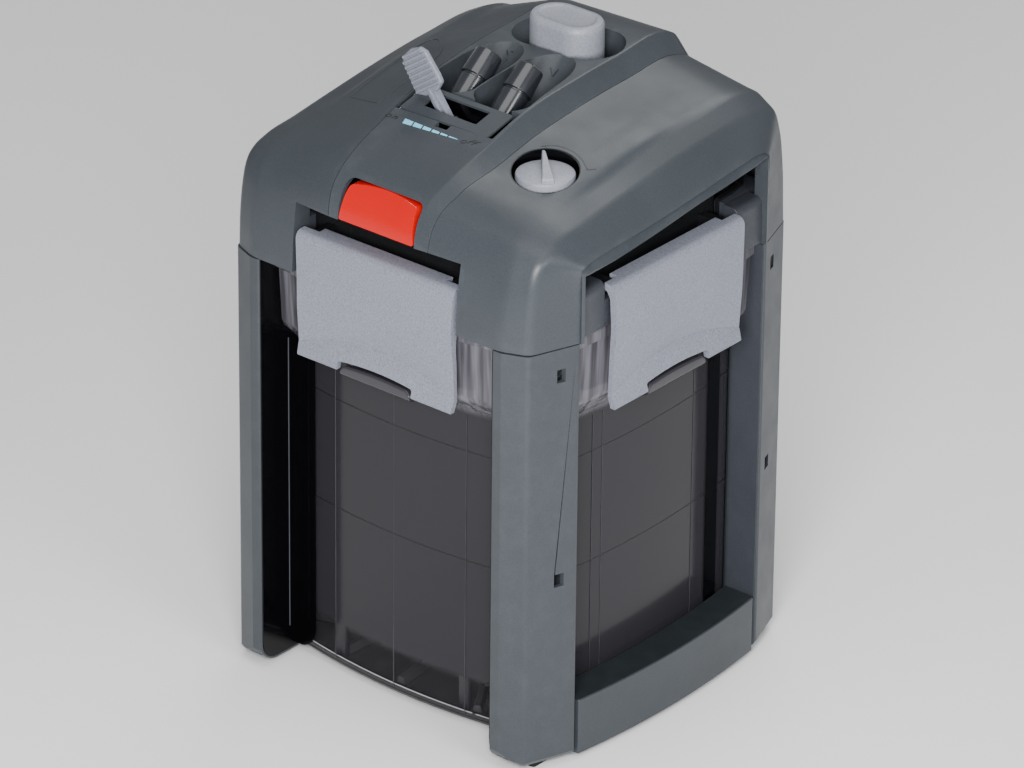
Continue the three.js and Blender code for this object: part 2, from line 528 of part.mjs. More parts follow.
// ---- Hose adapter, nozzles, lever and valve drums ----
// Spur gear in the XZ plane with plain tapered teeth; the first tooth points at angle `phase`.
function spurGear(teeth, phase, x, z) {
  const { module, y0, y1 } = GEAR;
  const pitchR = module * teeth / 2;
  const pitchAngle = 2 * Math.PI / teeth;
  const root = pitchR - 2.1;
  const crest = pitchR + 1.6;
  const tooth = [[-0.27, root], [-0.1, crest], [0.1, crest], [0.27, root]];
  const points = [];
  for (let i = 0; i < teeth; i += 1) {
    for (const [offset, r] of tooth) {
      const a = phase * DEG + (i + offset) * pitchAngle;
      points.push(new THREE.Vector2(r * Math.cos(a), r * Math.sin(a)));
    }
  }
  const shape = new THREE.Shape(points);
  const geometry = new THREE.ExtrudeGeometry(shape, { depth: y1 - y0, bevelEnabled: false });
  return solid(geometry.rotateX(Math.PI / 2).translate(x, y1, z));
}

function buildAdapter() {
  const y = NOZZLE.y;
  let block = box(BLOCK.x0, BLOCK.x1, BLOCK.y0, BLOCK.y1, BLOCK.z0, BLOCK.z1);
  for (const x of NOZZLE_XS) {
    const chamber = rod([x, DRUM.y0, DRUM.z], [x, DRUM.y1 + 0.6, DRUM.z], DRUM.r + DRUM.clear);
    const neckHole = rod([x, BLOCK.y0 - 2, DRUM.z], [x, DRUM.y0 + 1, DRUM.z], DRUM.neckHole);
    const port = post(x, y, BLOCK.z0 - 12, BLOCK.z1 + 14, PORT.r, 12);
    const socket = post(x, y, PORT.socketZ, BLOCK.z1 + 14, PORT.socketR, 12);
    block = cutAll(block, chamber, neckHole, port, socket);
  }
  const bracket = box(LEVER.x - BRACKET.halfX, LEVER.x + BRACKET.halfX, BRACKET.y0, BLOCK.y0 + 1,
    BRACKET.z0, BRACKET.z1);
  const leverHole = rod([LEVER.x, -34, LEVER.z], [LEVER.x, -20, LEVER.z], BRACKET.hole);
  add('hose_adapter_block', block.add(bracket).subtract(leverHole), innerBlack);

  const ends = [
    { name: 'inlet', x: NOZZLE_XS[0], towardsLever: 90 - DRUM_ANGLE },
    { name: 'outlet', x: NOZZLE_XS[1], towardsLever: 90 + DRUM_ANGLE },
  ];
  for (const { name, x, towardsLever } of ends) {
    add(`${name}_nozzle`, nozzle(x), glossBlack);
    add(`adapter_seal_${name}`, ring(SEAL.rIn, SEAL.rOut, SEAL.z0, SEAL.z1, x, y, 12), rubber);
    const drum = rod([x, DRUM.y0 + 0.5, DRUM.z], [x, DRUM.y1, DRUM.z], DRUM.r)
      .add(rod([x, GEAR.y1 - 1, DRUM.z], [x, DRUM.y0 + 1, DRUM.z], DRUM.neckR, DRUM.neckR, 12))
      .subtract(post(x, y, DRUM.z - 12, DRUM.z + 12, DRUM.port, 12));
    // A gap between two teeth faces the lever's gear.
    const gear = spurGear(GEAR.drum, towardsLever + 180 / GEAR.drum, x, DRUM.z);
    add(`valve_drum_${name}`, drum.add(gear), ceramic);
  }
}

function nozzle(x) {
  const { y, z, r, nutR, tipR, neck, nut } = NOZZLE;
  const at = (s) => along(x, y, z, s);
  const outside = rod(at(-1), at(neck), r)
    .add(rod(at(neck - 0.5), at(neck + nut), nutR, tipR))
    .add(post(x, y, ELBOW.z0, z + 1, ELBOW.r, 12));
  const bore = rod(at(-2), at(60), NOZZLE.bore, NOZZLE.bore, 12)
    .add(post(x, y, ELBOW.z0 - 3, z, ELBOW.bore, 12));
  return outside.subtract(bore);
}

function buildSlotPlate() {
  const { y0, y1, z, x0, x1, plate, halfX, halfY } = SLOT;
  const left = x0 + 3.4;
  const right = x1 - 7;
  const top = box(left, right, y0 + GAP, y1 + 1.6, z - plate, z);
  const slot = box(LEVER.x - halfX, LEVER.x + halfX, LEVER.y - halfY, LEVER.y + halfY, z - 6, z + 2);
  const legs = [left, right - WALL].map((x) => box(x, x + WALL, y0 + GAP, y0 + 4, z - 12, z - 1));
  add('slot_plate', joinAll(top.subtract(slot), ...legs), housingGrey);
}

function buildLever() {
  // A point of the lever from its distance along the lean and its offset across it.
  const up = (s, w) => {
    const a = LEVER.lean * DEG;
    return [LEVER.x - Math.sin(a) * s + Math.cos(a) * w, LEVER.z + Math.cos(a) * s + Math.sin(a) * w];
  };
  const flat = (outline, y0, y1) => {
    const shape = new THREE.Shape(outline.map(([s, w]) => new THREE.Vector2(...up(s, w))));
    const geometry = new THREE.ExtrudeGeometry(shape, { depth: y1 - y0, bevelEnabled: false });
    return solid(geometry.rotateX(Math.PI / 2).translate(0, y1, 0));
  };
  const half = LEVER.stem / 2;
  const stem = flat([[0, half], [0, -half], [34, -half], [34, half]], LEVER.y - 2.5, LEVER.y + 2.5);
  const outline = [[30.5, 9], [30.5, -9], [33.5, -11], [54, -9], [55.5, -6], [55.5, 6], [54, 9],
    [33.5, 11]];
  let paddle = flat(outline, LEVER.y - 3.5, LEVER.y + 3.5);
  // Grip grooves across the face of the paddle.
  for (let s = 33; s < 54; s += 3.8) {
    paddle = paddle.subtract(flat([[s, -12], [s + 1.6, -12], [s + 1.6, 9], [s, 9]],
      LEVER.y - 4, LEVER.y - 2.4));
  }
  const hub = spurGear(GEAR.lever, -90 + DRUM_ANGLE, LEVER.x, LEVER.z)
    .subtract(box(-60, 60, -60, -20, LEVER.z + LEVER.topCut, LEVER.z + 70));
  const shaft = rod([LEVER.x, -36.5, LEVER.z], [LEVER.x, DRUM.y0, LEVER.z], LEVER.shaftR);
  add('flow_lever', joinAll(stem, paddle, hub, shaft), clipGrey);
}

// ---- Release button, priming button, bypass dial ----
function spring(wireR, coilR, turns, x, y, z0, z1) {
  class Helix extends THREE.Curve {
    getPoint(t, target = new THREE.Vector3()) {
      const a = t * turns * 2 * Math.PI;
      return target.set(x + coilR * Math.cos(a), y + coilR * Math.sin(a), z0 + (z1 - z0) * t);
    }
  }
  const section = new THREE.Shape();
  section.absarc(0, 0, wireR, 0, 2 * Math.PI);
  const geometry = new THREE.ExtrudeGeometry(section, {
    steps: turns * 8, curveSegments: 2, extrudePath: new Helix() });
  return geometry;
}

function buildReleaseButton() {
  const { halfX, z0, z1, stemR, bore, latchX, latchZ } = BUTTON;
  const axisZ = z0 + 8;
  const profile = [
    [-119.5, z0],
    [-119, axisZ],
    [-115, z0 + 14],
    [-108, z1 - 1.4],
    [-104, z1],
    [-100, z1],
    [-100, z0],
  ];
  const cap = slab(profile, -halfX, halfX);
  const stem = rod([0, -101, axisZ], [0, -87, axisZ], stemR, stemR, 12);
  const springBore = rod([0, -100, axisZ], [0, -80, axisZ], bore, bore, 12);
  const latch = box(-latchX, latchX, -104, -100.5, latchZ, z0 + 1);
  add('release_button', joinAll(cap, stem, latch).subtract(springBore), glossRed);
  const coil = spring(0.6, 3.2, 4, 0, 0, 0, 10);
  coil.rotateX(-Math.PI / 2).translate(0, -94.6, axisZ);
  add('release_spring', solid(coil), steel);
}

function buildPrimer() {
  const { x, y, z, halfX, halfY, skirt, step } = PRIMER;
  const oval = (inset, z0, z1) => ovalPrism(halfX - inset, halfY - inset, z0, z1, x, y);
  const cap = oval(0, z - skirt, z - step)
    .add(oval(step, z - step - 1, z))
    .subtract(oval(WALL, z - skirt - 1, z - WALL));
  const stem = post(x, y, PISTON.stemZ, z - step, PISTON.stemR, 12);
  add('priming_button', cap.add(stem), clipGrey);
  add('priming_piston_seal', post(x, y, PISTON.sealZ, PISTON.stemZ - GAP, PISTON.sealR), rubber);
  add('priming_spring', solid(spring(0.9, 8, 6, x, y, LID.z1 + 1.6, z - WALL - 1.6)), steel);
}

function buildDial() {
  const { x, y, z, r, floorZ, stemR, finHalf } = DIAL;
  const disc = post(x, y, floorZ + GAP, z - 1.2, r, 28).add(
    rod([x, y, z - 1.3], [x, y, z], r - 0.6, r - 2.4, 28));
  // The grip fin has a round back and stands diagonally.
  const fin = box(x - r + 2, x + r - 2, y - finHalf, y + finHalf, z - 1, z + 6)
    .intersect(rod([x, y - 3, z - 6], [x, y + 3, z - 6], 17, 17, 24));
  const turnedFin = fin.translate([-x, -y, 0]).rotate([0, 0, 135]).translate([x, y, 0]);
  const stem = post(x, y, SHUTTER.z1 + 0.3, floorZ + 1, stemR, 12);
  add('bypass_dial', joinAll(disc, turnedFin, stem), clipGrey);
  const shutter = post(x, y, SHUTTER.z0, SHUTTER.z1, SHUTTER.r, 12)
    .subtract(box(x, x + 20, y - 20, y + 20, SHUTTER.z0 - 2, SHUTTER.ventZ));
  add('bypass_shutter', shutter, ceramic);
}

// ---- Clips ----
function buildClip(side, turn, kind) {
  const face = CLIP_FACE[kind];
  const { halfW, top, bottom, plate: t, hookZ, hookDepth, notchX } = CLIP;
  const y = -(face - PIVOT.inset);
  // [y, z] outline: outer face, bottom edge, latch hook behind, inner face and top flange.
  const profile = [
    [-face + 1, top],
    [-face, top - 4],
    [-face - 0.6, SEAM_Z - 0.7],
    [-face + 1.5, bottom],
    [-face + 1.5 + t, bottom],
    [-face + t - 0.6, hookZ],
    [-face + t + hookDepth, hookZ],
    [-face + t + hookDepth, hookZ + 5],
    [-face + t - 0.6, hookZ + 6],
    [-face + t, top - 8],
    [y - 3, top - 4],
    [y, top - 3.6],
    [y, top],
  ];
  const barrel = rod([-LUG.barrelX, y, PIVOT.z], [LUG.barrelX, y, PIVOT.z], PIVOT.barrelR)
    .add(box(-LUG.barrelX, LUG.barrelX, y - 4, y, PIVOT.z, top - 1));
  // Room for the two lugs, and for the ends of the barrel, on either side.
  const clearances = [-1, 1].flatMap((s) => {
    const span = (a, b) => (s > 0 ? [a, b] : [-b, -a]);
    return [
      box(...span(LUG.inX - LUG.clear, LUG.outX + LUG.clear), -face + t + GAP, y + 20, SEAM_Z - 3, top + 5),
      box(...span(LUG.barrelX, halfW + 12), y - 1, y + 20, SEAM_Z - 3, top + 11),
    ];
  });
  const notch = box(-notchX, notchX, -face - 5, -face + 9, bottom - 5, bottom + 6);
  const bore = rod([-halfW - 3, y, PIVOT.z], [halfW + 3, y, PIVOT.z], PIVOT.bore);
  const clip = cutAll(slab(profile, -halfW, halfW).add(barrel), ...clearances, notch, bore);
  add(`clip_${side}`, clip.rotate([0, 0, turn]), clipGrey);
  const pin = rod([-LUG.pinHalf, y, PIVOT.z], [LUG.pinHalf, y, PIVOT.z], PIVOT.pinR);
  add(`clip_pin_${side}`, pin.rotate([0, 0, turn]), steel);
}

// ---- Motor and impeller ----
function buildMotor() {
  const { x, y } = MOTOR;
  const { bore, magnetR, bladeR, blades, bladeHalf } = ROTOR;
  add('motor_block', ring(WELL.r + WELL.wall + 0.6, MOTOR.r, MOTOR.z0, MOTOR.z1, x, y), coilBlock);
  // Hub, shroud disc and magnet in one turned body, with straight blades below the shroud.
  let rotor = turned([
    [bore, ROTOR.z0],
    [6, ROTOR.z0],
    [6, ROTOR.z0 + 11],
    [bladeR, ROTOR.z0 + 11],
    [bladeR, ROTOR.z0 + 13.5],
    [7, ROTOR.z0 + 13.5],
    [7, ROTOR.z0 + 16],
    [magnetR, ROTOR.z0 + 16],
    [magnetR, ROTOR.z1],
    [bore, ROTOR.z1],
    [bore, ROTOR.z0],
  ], x, y, 16);
  for (let i = 0; i < blades; i += 1) {
    const blade = box(5, bladeR, -bladeHalf, bladeHalf, ROTOR.z0, ROTOR.z0 + 12);
    rotor = rotor.add(blade.rotate([0, 0, i * 360 / blades]).translate([x, y, 0]));
  }
  add('impeller_rotor', rotor, innerBlack);
  add('impeller_shaft', post(x, y, SHAFT.z0, SHAFT.z1, SHAFT.r, 12), ceramic);
  add('shaft_bush_upper', ring(2.5, 6, 288, 293, x, y, 12), rubber);
  add('shaft_bush_lower', ring(2.5, 5, 242.6, 245.4, x, y, 12), rubber);
  // Cover with a round intake eye crossed by two spokes.
  const { z0, z1, r, eyeR, hubR, spoke } = INTAKE;
  const eye = ring(hubR, eyeR, z0 - 6, z1 + 6, x, y, 14)
    .subtract(box(x - 20, x + 20, y - spoke, y + spoke, z0 - 6, z1 + 6));
  const cover = cutAll(post(x, y, z0, z1, r, 20), eye, post(x, y, z0 - 6, z1 + 3, 2));
  add('impeller_cover', cover, innerBlack);
}

// ---- Filter baskets, pads and media ----
function basket(z0, z1) {
  const { bayX, bayY, wall } = BASKET;
  const plan = (inset) => bulgedPlan(BASKET.x - inset, BASKET.y - inset, BASKET.bulgeX, BASKET.bulgeY,
    BASKET.corner);
  const outside = prism(plan(0), z0, z1);
  let body = outside.subtract(prism(plan(wall), z0 + wall, z1 + 1));
  for (let x = GRID.x0; x <= GRID.x1; x += GRID.pitch) {
    body = body.subtract(box(x, x + GRID.width, GRID.y0, GRID.y1, z0 - 1, z0 + wall + 1));
  }
  // Bay for the intake riser at the rear right corner.
  const bay = box(bayX + wall, 120, bayY + wall, 120, z0 - 1, z1 + 1);
  const bayWall = box(bayX, bayX + wall, bayY, BASKET.y - 7, z0, z1)
    .add(box(bayX, BASKET.x - 5, bayY, bayY + wall, z0, z1));
  return body.subtract(bay).add(bayWall.intersect(outside));
}

function fill(name, z0, z1, material) {
  const inset = BASKET.wall + FILL_GAP;
  const body = prism(bulgedPlan(BASKET.x - inset, BASKET.y - inset, BASKET.bulgeX, BASKET.bulgeY,
    BASKET.corner), z0, z1);
  const bay = box(BASKET.bayX - 0.6, 120, BASKET.bayY - 0.6, 120, z0 - 1, z1 + 1);
  add(name, body.subtract(bay), material);
}

function buildBaskets() {
  for (const { name, z0, z1 } of STACK) add(name, basket(z0, z1), basketGrey);
  const [lower, upper, top] = STACK;
  fill('media_rings', lower.z0 + 2.6, lower.z1 - 7, mediaWhite);
  fill('media_balls', upper.z0 + 2.6, upper.z1 - 14, mediaWhite);
  fill('fleece_pad', upper.z1 - 13, upper.z1 - 3, fleeceWhite);
  fill('foam_pad', top.z0 + 2.6, top.z1 - 4, foamBlue);
  const { x0, x1, y0, y1, z0, z1, wall } = RISER;
  const riser = box(x0, x1, y0, y1, z0, z1)
    .subtract(box(x0 + wall, x1 - wall, y0 + wall, y1 - wall, z0 - 1, z1 + 1));
  add('riser_duct', riser, innerBlack);
}

function buildSmallParts() {
  const { x: gx, z: gz, r, bore, flange, y0, y1 } = GLAND;
  const gland = rod([gx, y0 + 2, gz], [gx, y1, gz], r, r - 1)
    .add(rod([gx, y0, gz], [gx, y0 + 4.4, gz], r + flange))
    .subtract(rod([gx, y0 - 16, gz], [gx, y1 - 2, gz], bore));
  add('cable_gland', gland, rubber);
  SCREW_PLACES.forEach(([x, y], i) => {
    const screw = post(x, y, SCREW.z0, LID.z1 + 1, SCREW.r, 8)
      .add(post(x, y, LID.z1 + 0.3, LID.z1 + 2.6, SCREW.headR, 8));
    add(`lid_screw_${i + 1}`, screw, steel);
  });
}

buildTank();
buildFrame();
buildSealingRing();
buildHeadBody();
buildHeadLid();
buildCovers();
buildAdapter();
buildSlotPlate();
buildLever();
buildReleaseButton();
buildPrimer();
buildDial();
for (const [side, turn, kind] of SIDES) buildClip(side, turn, kind);
buildMotor();
buildBaskets();
buildSmallParts();

export default root;
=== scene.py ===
import math

import bmesh
import bpy
import numpy as np
from mathutils import Matrix, Vector
from mathutils.bvhtree import BVHTree


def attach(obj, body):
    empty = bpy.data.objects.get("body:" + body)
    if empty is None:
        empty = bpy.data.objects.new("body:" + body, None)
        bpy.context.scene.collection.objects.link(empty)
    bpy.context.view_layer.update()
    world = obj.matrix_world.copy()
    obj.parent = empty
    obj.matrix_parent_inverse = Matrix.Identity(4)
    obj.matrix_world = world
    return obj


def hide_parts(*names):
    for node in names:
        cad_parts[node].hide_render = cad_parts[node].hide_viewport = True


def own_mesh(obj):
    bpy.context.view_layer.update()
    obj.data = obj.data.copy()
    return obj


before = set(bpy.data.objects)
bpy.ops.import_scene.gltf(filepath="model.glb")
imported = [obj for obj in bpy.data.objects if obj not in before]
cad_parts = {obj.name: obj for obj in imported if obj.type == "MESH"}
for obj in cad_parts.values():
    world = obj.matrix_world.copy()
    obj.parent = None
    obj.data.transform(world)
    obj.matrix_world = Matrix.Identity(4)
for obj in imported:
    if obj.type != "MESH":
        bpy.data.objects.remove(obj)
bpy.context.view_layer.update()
scene = bpy.context.scene
MM = 0.001
TAU = 2 * math.pi
SEAM_Z = 262.7  # where the head cover meets the posts
SIGHT = -Vector((0.5689, -0.6878, 0.4509)).normalized()  # the way the photo's camera looks


def new_object(name, data):
    ob = bpy.data.objects.new(name, data)
    scene.collection.objects.link(ob)
    return ob


def mesh_object(name, bm):
    me = bpy.data.meshes.new(name)
    bm.to_mesh(me)
    bm.free()
    return new_object(name, me)


# ---- camera, floor and light
def make_camera():
    data = bpy.data.cameras.new("camera")
    data.sensor_width, data.lens = 36.0, 258.8
    data.clip_start, data.clip_end = 0.1, 50
    cam = new_object("camera", data)
    turn = SIGHT.to_track_quat("-Z", "Y").to_matrix()
    nudge = Matrix.Rotation(math.radians(0.558), 3, "Z")
    aim = Matrix.Rotation(math.radians(-0.4026), 3, "X") @ Matrix.Rotation(math.radians(-0.0108), 3, "Y")
    cam.matrix_world = Matrix.Translation((2.367, -2.862, 2.076)) @ (turn @ nudge @ aim).to_4x4()
    scene.camera = cam


def area_light(name, place, target, size, watts):
    data = bpy.data.lights.new(name, "AREA")
    data.shape, data.size, data.energy = "DISK", size, watts
    lamp = new_object(name, data)
    lamp.location = place
    lamp.rotation_euler = (Vector(target) - Vector(place)).to_track_quat("-Z", "Y").to_euler()


def make_stage():
    bm = bmesh.new()
    bmesh.ops.create_grid(bm, x_segments=8, y_segments=8, size=7)
    floor = mesh_object("floor", bm)
    mat = bpy.data.materials.new("floor")
    mat.use_nodes = True
    shader = mat.node_tree.nodes["Principled BSDF"]
    shader.inputs["Base Color"].default_value = (0.93, 0.93, 0.93, 1)
    shader.inputs["Roughness"].default_value = 0.9
    shader.inputs["Specular IOR Level"].default_value = 0.1
    floor.data.materials.append(mat)
    world = bpy.data.worlds.new("world")
    world.use_nodes = True
    sky = world.node_tree.nodes["Background"]
    sky.inputs["Color"].default_value = (0.95, 0.97, 1, 1)
    sky.inputs["Strength"].default_value = 0.27
    scene.world = world
    area_light("key", (0.7, -0.98, 0.7), (0.04, -0.05, 0.22), 0.5, 22)
    area_light("right", (1.35, -0.4, 1.0), (0.05, 0, 0.25), 0.7, 8.5)
    area_light("top", (-0.35, 0.9, 1.5), (0.03, 0.02, 0.34), 0.9, 8.5)
    area_light("floor_wash", (0.4, -0.6, 2.6), (0.0, 0.0, 0.0), 2.2, 27)


# ---- materials
def linear(*rgb):
    return [((c / 255 + 0.055) / 1.055) ** 2.4 if c > 10 else c / 255 / 12.92 for c in rgb] + [1]


class Shade:
    """A procedural material: nodes are added and linked by short calls."""

    def __init__(self, name):
        self.mat = bpy.data.materials.new(name)
        self.mat.use_nodes = True
        self.tree = self.mat.node_tree
        self.shader = self.tree.nodes["Principled BSDF"]
        self.coord = self.node("TexCoord").outputs["Object"]

    def node(self, kind, **values):
        n = self.tree.nodes.new("ShaderNode" + kind)
        for key, value in values.items():
            if hasattr(n, key):
                setattr(n, key, value)
            else:
                self.put(n.inputs[key.replace("_", " ")], value)
        return n

    def put(self, socket, value):
        if isinstance(value, bpy.types.NodeSocket):
            self.tree.links.new(value, socket)
        else:
            socket.default_value = value

    def set(self, **values):
        for key, value in values.items():
            self.put(self.shader.inputs[key.replace("_", " ")], value)

    def noise(self, size_mm, detail=2.0, stretch=(1, 1, 1), rough=0.5):
        vector = self.coord
        if stretch != (1, 1, 1):
            mapping = self.node("Mapping", Vector=self.coord)
            mapping.inputs["Scale"].default_value = stretch
            vector = mapping.outputs[0]
        n = self.node("TexNoise", Vector=vector, Scale=1 / (size_mm * MM), Detail=detail, Roughness=rough)
        return n.outputs["Fac"]

    def span(self, value, low, high, to_low, to_high):
        n = self.node("MapRange", Value=value)
        for key, v in zip(("From Min", "From Max", "To Min", "To Max"), (low, high, to_low, to_high)):
            n.inputs[key].default_value = v
        return n.outputs[0]

    def math(self, operation, a, b):
        n = self.node("Math", operation=operation)
        self.put(n.inputs[0], a)
        self.put(n.inputs[1], b)
        return n.outputs[0]

    def mix(self, factor, a, b):
        n = self.node("Mix", data_type="RGBA")
        self.put(n.inputs[0], factor)
        self.put(n.inputs[6], a)
        self.put(n.inputs[7], b)
        return n.outputs[2]

    def bump(self, height, strength, distance_mm, normal=None):
        n = self.node("Bump", Height=height, Strength=strength, Distance=distance_mm * MM)
        if normal is not None:
            self.put(n.inputs["Normal"], normal)
        return n.outputs[0]

    def edge(self):
        """1 on convex edges and 0 on flats."""
        return self.span(self.node("NewGeometry").outputs["Pointiness"], 0.52, 0.6, 0, 1)


def tinted(base, factor, lift=0.0):
    """A colour made darker or paler."""
    return [min(1, c * factor + lift) for c in base[:3]] + [1]


def plastic(name, rgb, rough=0.45, grain=0.25, grain_mm=0.5, speckle=0.05, blotch=0.06, wear=0.3,
            specular=0.5, coat=0.0, painted_glow=0.0):
    """Moulded plastic: fine grain, slow colour drift, handling marks and paler worn edges, with an optional painted
    glow (emission) that stands in for light.
    """
    s = Shade(name)
    base = linear(*rgb)
    fleck = s.noise(grain_mm * 1.6, 2)
    drift = s.mix(s.span(s.noise(55, 4), 0.3, 0.7, 0, 1), tinted(base, 1 - blotch), tinted(base, 1 + blotch))
    tone = s.mix(s.span(fleck, 0.3, 0.7, 0, speckle), drift, (0.9, 0.92, 0.95, 1))
    scuff = s.span(s.noise(9, 5, rough=0.7), 0.45, 0.75, 0.25, 1)
    worn_share = s.span(s.math("MULTIPLY", s.edge(), scuff), 0, 1, 0, wear)
    s.set(Base_Color=s.mix(worn_share, tone, tinted(base, 1.5, 0.03)))
    s.set(Roughness=s.span(s.noise(18, 5, rough=0.65), 0.25, 0.75, rough - 0.06, rough + 0.08))
    fine = s.bump(s.noise(grain_mm, 3, rough=0.6), grain, 0.08)
    s.set(Normal=s.bump(s.noise(26, 2), 0.05, 0.5, fine))
    s.set(Specular_IOR_Level=specular, Coat_Weight=coat, Coat_Roughness=0.08, Emission_Color=base,
          Emission_Strength=painted_glow)
    return s.mat


def smoky(name, rgb, clear, dense, rough=0.1):
    """Smoke-tinted clear plastic: clear in the band above the rim, and dense elsewhere. The flared collar
    is paler, with upright flow lines."""
    s = Shade(name)
    height = s.node("SeparateXYZ", Vector=s.coord).outputs[2]
    collar = s.span(height, 199 * MM, 207 * MM, 0, 1)
    above_floor = s.span(height, 29 * MM, 34 * MM, clear, dense)
    rim = s.span(height, 9.5 * MM, 10.5 * MM, dense, 0)
    flow = s.noise(4.5, 2, stretch=(1, 1, 0.03))
    pale_share = s.math("MULTIPLY", s.span(flow, 0.38, 0.64, 0.25, 1), collar)
    s.set(Base_Color=s.mix(pale_share, linear(*rgb), linear(112, 110, 118)))
    s.set(Alpha=s.math("MAXIMUM", s.math("MAXIMUM", above_floor, rim), s.span(collar, 0, 1, 0, 0.96)))
    s.set(Roughness=s.span(s.noise(30, 3), 0.3, 0.7, rough, rough + 0.06))
    s.set(Normal=s.bump(s.noise(60, 1), 0.02, 0.4), IOR=1.45, Specular_IOR_Level=0.22)
    return s.mat


def metal(name, rgb, rough=0.28):
    s = Shade(name)
    base = linear(*rgb)
    lines = s.noise(0.35, 3, stretch=(1, 1, 0.08))
    s.set(Base_Color=s.mix(s.span(s.noise(8, 4), 0.3, 0.7, 0, 1), tinted(base, 0.86), base))
    s.set(Roughness=s.span(lines, 0.3, 0.7, rough - 0.08, rough + 0.12))
    s.set(Normal=s.bump(lines, 0.15, 0.05), Metallic=1.0)
    return s.mat


def fibrous(name, rgb, cell_mm, depth_mm, blotch=0.15):
    """Open-cell foam, fleece or loose media, by the size of its cells."""
    s = Shade(name)
    base = linear(*rgb)
    cells = s.node("TexVoronoi", Vector=s.coord, Scale=1 / (cell_mm * MM)).outputs["Distance"]
    fuzz = s.noise(cell_mm * 0.5, 4, rough=0.7)
    tone = s.mix(s.span(cells, 0, 0.7, 0, 1), tinted(base, 1 - blotch), base)
    s.set(Base_Color=s.mix(s.span(fuzz, 0.3, 0.7, 0, 0.25), tone, tinted(base, 0.6)))
    s.set(Roughness=s.span(fuzz, 0.3, 0.7, 0.8, 1.0), Specular_IOR_Level=0.2)
    s.set(Normal=s.bump(cells, 0.6, depth_mm, s.bump(fuzz, 0.4, depth_mm * 0.4)))
    return s.mat


HOUSING = plastic("housing grey", (53, 58, 63), rough=0.36, grain=0.22, grain_mm=0.45, speckle=0.015,
                  specular=0.36)
FRAME_GREY = plastic("frame grey", (49, 54, 59), rough=0.38, grain=0.22, grain_mm=0.45, speckle=0.015,
                     specular=0.36)
CLIP_GREY = plastic("clip grey", (109, 112, 125), rough=0.48, grain=0.3, grain_mm=0.6, speckle=0.12,
                    blotch=0.04, wear=0.25)
KNOB_GREY = plastic("knob grey", (128, 131, 141), rough=0.46, grain=0.25, grain_mm=0.7, speckle=0.1,
                    blotch=0.05, wear=0.25)
RED = plastic("button red", (196, 4, 2), rough=0.2, grain=0.03, speckle=0.0, blotch=0.04, wear=0.04,
              specular=0.35, coat=0.25)
GLOSS_BLACK = plastic("nozzle black", (36, 39, 44), rough=0.26, grain=0.02, speckle=0.0, blotch=0.08,
                      wear=0.1, coat=1.0)
# Near-black gloss: painted shade on the sheets beside the posts, in the dial's cup and under the slot plate; also
# used for the intake shroud and its strip.
BLACK_AND_PAINTED_SHADE = plastic("black and painted shade", (4, 4, 6), rough=0.08, grain=0.02, speckle=0.0, blotch=0.1, wear=0.05,
                      specular=0.2)
DARK = plastic("inner black", (14, 15, 17), rough=0.4, grain=0.1, speckle=0.01, blotch=0.12, wear=0.1,
               specular=0.3)
HEAD_DARK = plastic("head dark grey", (50, 53, 61), rough=0.36, grain=0.12, speckle=0.02, blotch=0.08,
                    wear=0.2)
SHOULDER_GREY = plastic("head shoulder grey", (44, 47, 54), rough=0.4, grain=0.2, speckle=0.02)
RUBBER = plastic("rubber", (20, 20, 21), rough=0.75, grain=0.5, grain_mm=0.8, speckle=0.01, wear=0.15,
                 specular=0.3)
SMOKE = smoky("smoked tank", (45, 44, 48), 0.14, 0.94)
SMOKE_SOLID = plastic("smoke plastic", (48, 47, 52), rough=0.2, grain=0.03, speckle=0.0, blotch=0.1,
                      wear=0.2)
# Painted light: the near-white colour and a faint glow stand in for the lit table seen through the clear floor,
# which lies in the tank's shade.
FLOOR_PAINTED_GLOW = plastic("tank floor painted glow", (250, 249, 254), rough=0.25, grain=0.03, speckle=0.0, blotch=0.06,
                      wear=0.1, painted_glow=0.16)
BASKET = plastic("basket grey", (62, 61, 65), rough=0.5, grain=0.08, speckle=0.01, blotch=0.05, wear=0.2)
VALVE = plastic("valve plastic", (196, 196, 190), rough=0.35, grain=0.08, speckle=0.02, wear=0.1)
CERAMIC = plastic("white ceramic", (228, 226, 218), rough=0.3, grain=0.05, speckle=0.02, wear=0.05)
POTTING = plastic("potting resin", (40, 40, 44), rough=0.5, grain=0.4, grain_mm=2.5, speckle=0.05, wear=0.2)
STEEL = metal("pin steel", (200, 202, 206))
FOAM = fibrous("blue foam", (40, 96, 160), 1.6, 0.8)
FLEECE = fibrous("white fleece", (225, 226, 222), 0.9, 0.5, 0.08)
MEDIA = fibrous("filter media", (204, 196, 180), 9, 3, 0.3)
RAIL_TOP = plastic("rail top grey", (24, 30, 33), rough=0.4, grain=0.2, speckle=0.01, specular=0.3)
PRINT_BLUE = plastic("pale blue print", (128, 208, 236), rough=0.4, grain=0.1, speckle=0.02, wear=0.1)
PRINT_DARK = plastic("dark print", (20, 23, 26), rough=0.4, grain=0.1, speckle=0.01, wear=0.1)


# ---- mesh helpers
def piece(name, verts, faces):
    """A mesh object from points in mm; doubled points are merged and normals face out."""
    me = bpy.data.meshes.new(name)
    me.from_pydata([tuple(c * MM for c in v) for v in verts], [], faces)
    bm = bmesh.new()
    bm.from_mesh(me)
    bmesh.ops.remove_doubles(bm, verts=bm.verts, dist=2e-6)
    bmesh.ops.dissolve_degenerate(bm, dist=1e-6, edges=bm.edges)
    bmesh.ops.recalc_face_normals(bm, faces=bm.faces)
    bm.to_mesh(me)
    bm.free()
    return new_object(name, me)


def freeze(ob):
    """Applies the object's modifiers to its mesh."""
    graph = bpy.context.evaluated_depsgraph_get()
    graph.update()
    me = bpy.data.meshes.new_from_object(ob.evaluated_get(graph))
    ob.modifiers.clear()
    old = ob.data
    ob.data = me
    bpy.data.meshes.remove(old)
    return ob


def drop(ob):
    bpy.data.objects.remove(ob)


